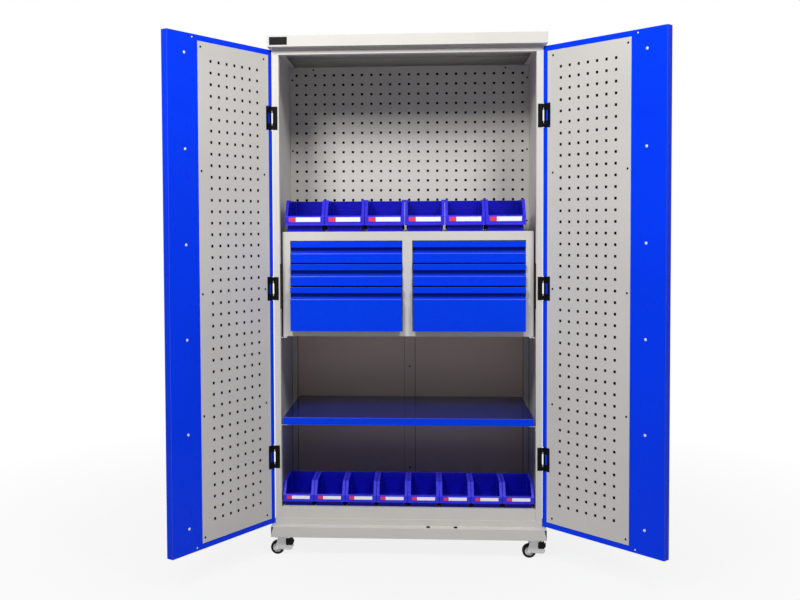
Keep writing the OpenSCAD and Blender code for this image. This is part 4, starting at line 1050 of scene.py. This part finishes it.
class CABINET_OT_casters(bpy.types.Operator):
    """Build the wheels, forks, axle nuts and brake pedals"""
    bl_idname = "cabinet.casters"
    bl_label = "Casters"

    def execute(self, context):
        ribs = rib_pattern()
        for corner in CORNERS:
            soften(f"caster_fork_{corner}", f"fork_{corner}", f"caster_fork_{corner}_pressed",
                   0.5 * MM, ("fork_plate", "fork_plate"))
            low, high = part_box(f"caster_wheel_{corner}")
            centre = (low + high) / 2
            self.wheel(corner, centre, (high.z - low.z) / 2, (high.y - low.y) / 2)
            self.nuts(corner, centre)
        for side, _ in SIDES:
            name = f"brake_pedal_{side}"
            soften(name, f"pedal_{side}", name + "_moulded", 0.7 * MM, PLASTIC_PAIR)
            pin = Vector(joint(f"brake_{side}_press")["pos_m"])
            nose = Vector((19 * MM, 0, 12.8 * MM))      # from the pin to the first rib
            place = Matrix.Translation(pin + nose) @ Matrix.Rotation(math.radians(90), 4, "Y")
            mesh = ribs.grow(name + "_ribs", place=place, count=sizes().grip_ribs, pitch=-2.6 * MM,
                             width=17 * MM, radius=0.7 * MM, finish="black_plastic")
            new_piece(name + "_ribs", mesh, f"pedal_{side}")
        return {"FINISHED"}

    def wheel(self, corner, centre, radius, half):
        """A tread with round shoulders on a dished hub."""
        bm = bmesh.new()
        hub, shoulder = radius * 0.66, 4 * MM
        tread = [(hub, -half + 0.6 * MM), (hub + 1.5 * MM, -half)]
        for k in range(5):
            turn = math.radians(90 * k / 4)
            tread.append((radius - shoulder + shoulder * math.sin(turn),
                          -half + shoulder - shoulder * math.cos(turn)))
        tread += [(radius, -0.7 * MM), (radius - 0.6 * MM, -0.4 * MM)]
        outline = tread + [(r, -h) for r, h in reversed(tread)]
        add_lathe(bm, outline + [outline[0]], centre, steps=64)
        face = half - 1 * MM
        disc = [(4.1 * MM, -face), (7 * MM, -face), (7.6 * MM, -face + 2.2 * MM),
                (hub - 3.4 * MM, -face + 2.2 * MM), (hub - 2.6 * MM, -face),
                (hub + 0.1 * MM, -face + 0.4 * MM)]
        rim = disc + [(r, -h) for r, h in reversed(disc)]
        add_lathe(bm, rim + [rim[0]], centre, steps=48, material=1)
        bmesh.ops.remove_doubles(bm, verts=bm.verts, dist=0.000001)
        bmesh.ops.recalc_face_normals(bm, faces=bm.faces)
        node = f"caster_wheel_{corner}"
        put(node + "_turned", bm, ("tyre_rubber", "hub_plastic"), f"wheel_{corner}",
            [node])

    def nuts(self, corner, centre):
        """The hexagon nuts at both ends of an axle."""
        bm = bmesh.new()
        out = 13.5 * MM          # the fork's outer face, from the wheel's middle
        for s in (-1, 1):
            add_lathe(bm, [(r * MM, s * h * MM) for r, h in
                           ((0, 0), (6.4, 0), (6.4, 2.6), (5.6, 3.1), (0, 3.1))],
                      centre + Vector((0, -s * out, 0)), steps=6)
        put(f"axle_nuts_{corner}", bm, ["zinc_plate"], f"fork_{corner}")


class CABINET_OT_nameplate(bpy.types.Operator):
    """Finish the blank plate on the cap with a raised border"""
    bl_idname = "cabinet.nameplate"
    bl_label = "Blank plate"

    def execute(self, context):
        low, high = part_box("nameplate_blank")
        bm = bmesh.new()
        round_edges(bm, add_block(bm, low, high), 0.3 * MM, 0)
        edge, front, rise = 1.2 * MM, low.y, 0.25 * MM
        for a, b in (((low.x, low.z), (high.x, low.z + edge)),
                     ((low.x, high.z - edge), (high.x, high.z)),
                     ((low.x, low.z), (low.x + edge, high.z)),
                     ((high.x - edge, low.z), (high.x, high.z))):
            add_block(bm, (a[0], front - rise, a[1]), (b[0], front + rise, b[1]), 1)
        put("blank_plate", bm, ("plate_black", "plate_black"), "cabinet",
            ["nameplate_blank"])
        return {"FINISHED"}


class CABINET_OT_stage(bpy.types.Operator):
    """Set the pale floor, the soft light and the camera"""
    bl_idname = "cabinet.stage"
    bl_label = "Stage"

    def execute(self, context):
        stage = context.scene.cabinet_stage
        self.floor()
        self.world(context.scene, stage.sky)
        self.lamp("left_light", (-1.05, -2.45, 2.95), stage.left)
        self.lamp("right_light", (1.25, -2.45, 3.4), stage.right)
        self.camera(context.scene, stage.lens)
        context.scene.view_settings.view_transform = "Standard"
        return {"FINISHED"}

    def camera(self, scene, lens):
        """The camera as fitted to the photo, its angles in degrees."""
        down, roll, left = 2.098, 0.246, 3.341
        camera = bpy.data.cameras.new("camera")
        camera.lens = lens
        camera.sensor_width = 36
        camera.shift_x = 0.0367
        camera.shift_y = -0.0486
        camera.clip_end = 60
        scene.camera = linked("camera", camera)
        scene.camera.location = (0.073, -3.7226, 1.208)
        scene.camera.rotation_euler = [math.radians(a) for a in (90 - down, roll, left)]

    def lamp(self, name, place, power):
        """A soft square light that aims at the cabinet's middle."""
        light = bpy.data.lights.new(name, "AREA")
        light.size = 0.7
        light.energy = power
        holder = linked(name, light)
        holder.location = place
        way = Vector((0, 0, 1.0)) - Vector(place)
        holder.rotation_euler = way.to_track_quat("-Z", "Y").to_euler()

    def seen_white(self, tree, shader, share):
        """Mixes a shader with plain white where the camera or a gloss looks at it.

        share is how white, a number or the output of a node.
        """
        path = tree.nodes.new("ShaderNodeLightPath").outputs
        glow = tree.nodes.new("ShaderNodeEmission")
        glow.inputs["Color"].default_value = (1, 1, 1, 1)
        gloss = maths(tree, "ADD", path["Is Glossy Ray"], path["Is Transmission Ray"])
        seen = maths(tree, "ADD", path["Is Camera Ray"], gloss, clamp=True)
        mix = tree.nodes.new("ShaderNodeMixShader")
        tree.links.new(maths(tree, "MULTIPLY", seen, share), mix.inputs[0])
        tree.links.new(shader, mix.inputs[1])
        tree.links.new(glow.outputs[0], mix.inputs[2])
        return mix.outputs[0]

    def floor(self):
        """Pale floor that turns to plain white away from the cabinet."""
        bm = bmesh.new()
        bmesh.ops.create_grid(bm, x_segments=1, y_segments=1, size=15)
        mesh = bpy.data.meshes.new("floor")
        bm.to_mesh(mesh)
        bm.free()
        finish = Finish("floor_paint", (0.55, 0.55, 0.55), 0.8).clouded(1.5, 0.99, 1.0)
        tree = finish.material.node_tree
        out = tree.nodes["Material Output"]
        reach = finish.add("ShaderNodeVectorMath", operation="LENGTH")
        tree.links.new(finish.where(), reach.inputs[0])
        share = finish.spread(reach.outputs["Value"], 0.85, 1.0, 0.5, 2.4)
        mixed = self.seen_white(tree, finish.shader.outputs[0], share)
        tree.links.new(mixed, out.inputs["Surface"])
        mesh.materials.append(finish.material)
        linked("floor", mesh)

    def world(self, scene, strength):
        """Even light from all round, seen as white."""
        world = bpy.data.worlds.new("sky")
        scene.world = world
        world.use_nodes = True
        tree = world.node_tree
        tree.nodes.clear()
        sky = tree.nodes.new("ShaderNodeBackground")
        sky.inputs["Color"].default_value = (1, 1, 1, 1)
        sky.inputs["Strength"].default_value = strength
        out = tree.nodes.new("ShaderNodeOutputWorld")
        tree.links.new(self.seen_white(tree, sky.outputs[0], 1.0), out.inputs["Surface"])


class CABINET_PT_panel(bpy.types.Panel):
    """The cabinet's pieces, colours and sizes"""
    bl_label = "Tool cabinet"
    bl_idname = "CABINET_PT_panel"
    bl_space_type = "VIEW_3D"
    bl_region_type = "UI"
    bl_category = "Cabinet"

    def draw(self, context):
        for operator in OPERATORS:
            self.layout.operator(operator.bl_idname)
        for group in ("cabinet_colours", "cabinet_sizes", "cabinet_stage"):
            settings = getattr(context.scene, group)
            box = self.layout.box()
            for key in settings.__class__.__annotations__:
                box.prop(settings, key)


OPERATORS = (CABINET_OT_finishes, CABINET_OT_stage, CABINET_OT_body, CABINET_OT_pegboards,
             CABINET_OT_doors, CABINET_OT_drawers, CABINET_OT_bins, CABINET_OT_hinges,
             CABINET_OT_fixings, CABINET_OT_lock, CABINET_OT_casters, CABINET_OT_nameplate)
GROUPS = {"cabinet_colours": CabinetColours, "cabinet_sizes": CabinetSizes,
          "cabinet_stage": StageSettings}


def register():
    for group in GROUPS.values():
        bpy.utils.register_class(group)
    for name, group in GROUPS.items():
        setattr(bpy.types.Scene, name, PointerProperty(type=group))
    for operator in OPERATORS:
        bpy.utils.register_class(operator)
    bpy.utils.register_class(CABINET_PT_panel)


def unregister():
    bpy.utils.unregister_class(CABINET_PT_panel)
    for operator in reversed(OPERATORS):
        bpy.utils.unregister_class(operator)
    for name, group in GROUPS.items():
        delattr(bpy.types.Scene, name)
        bpy.utils.unregister_class(group)


def main():
    register()
    for operator in OPERATORS:
        family, name = operator.bl_idname.split(".")
        getattr(getattr(bpy.ops, family), name)()


if __name__ == "__main__":
    main()
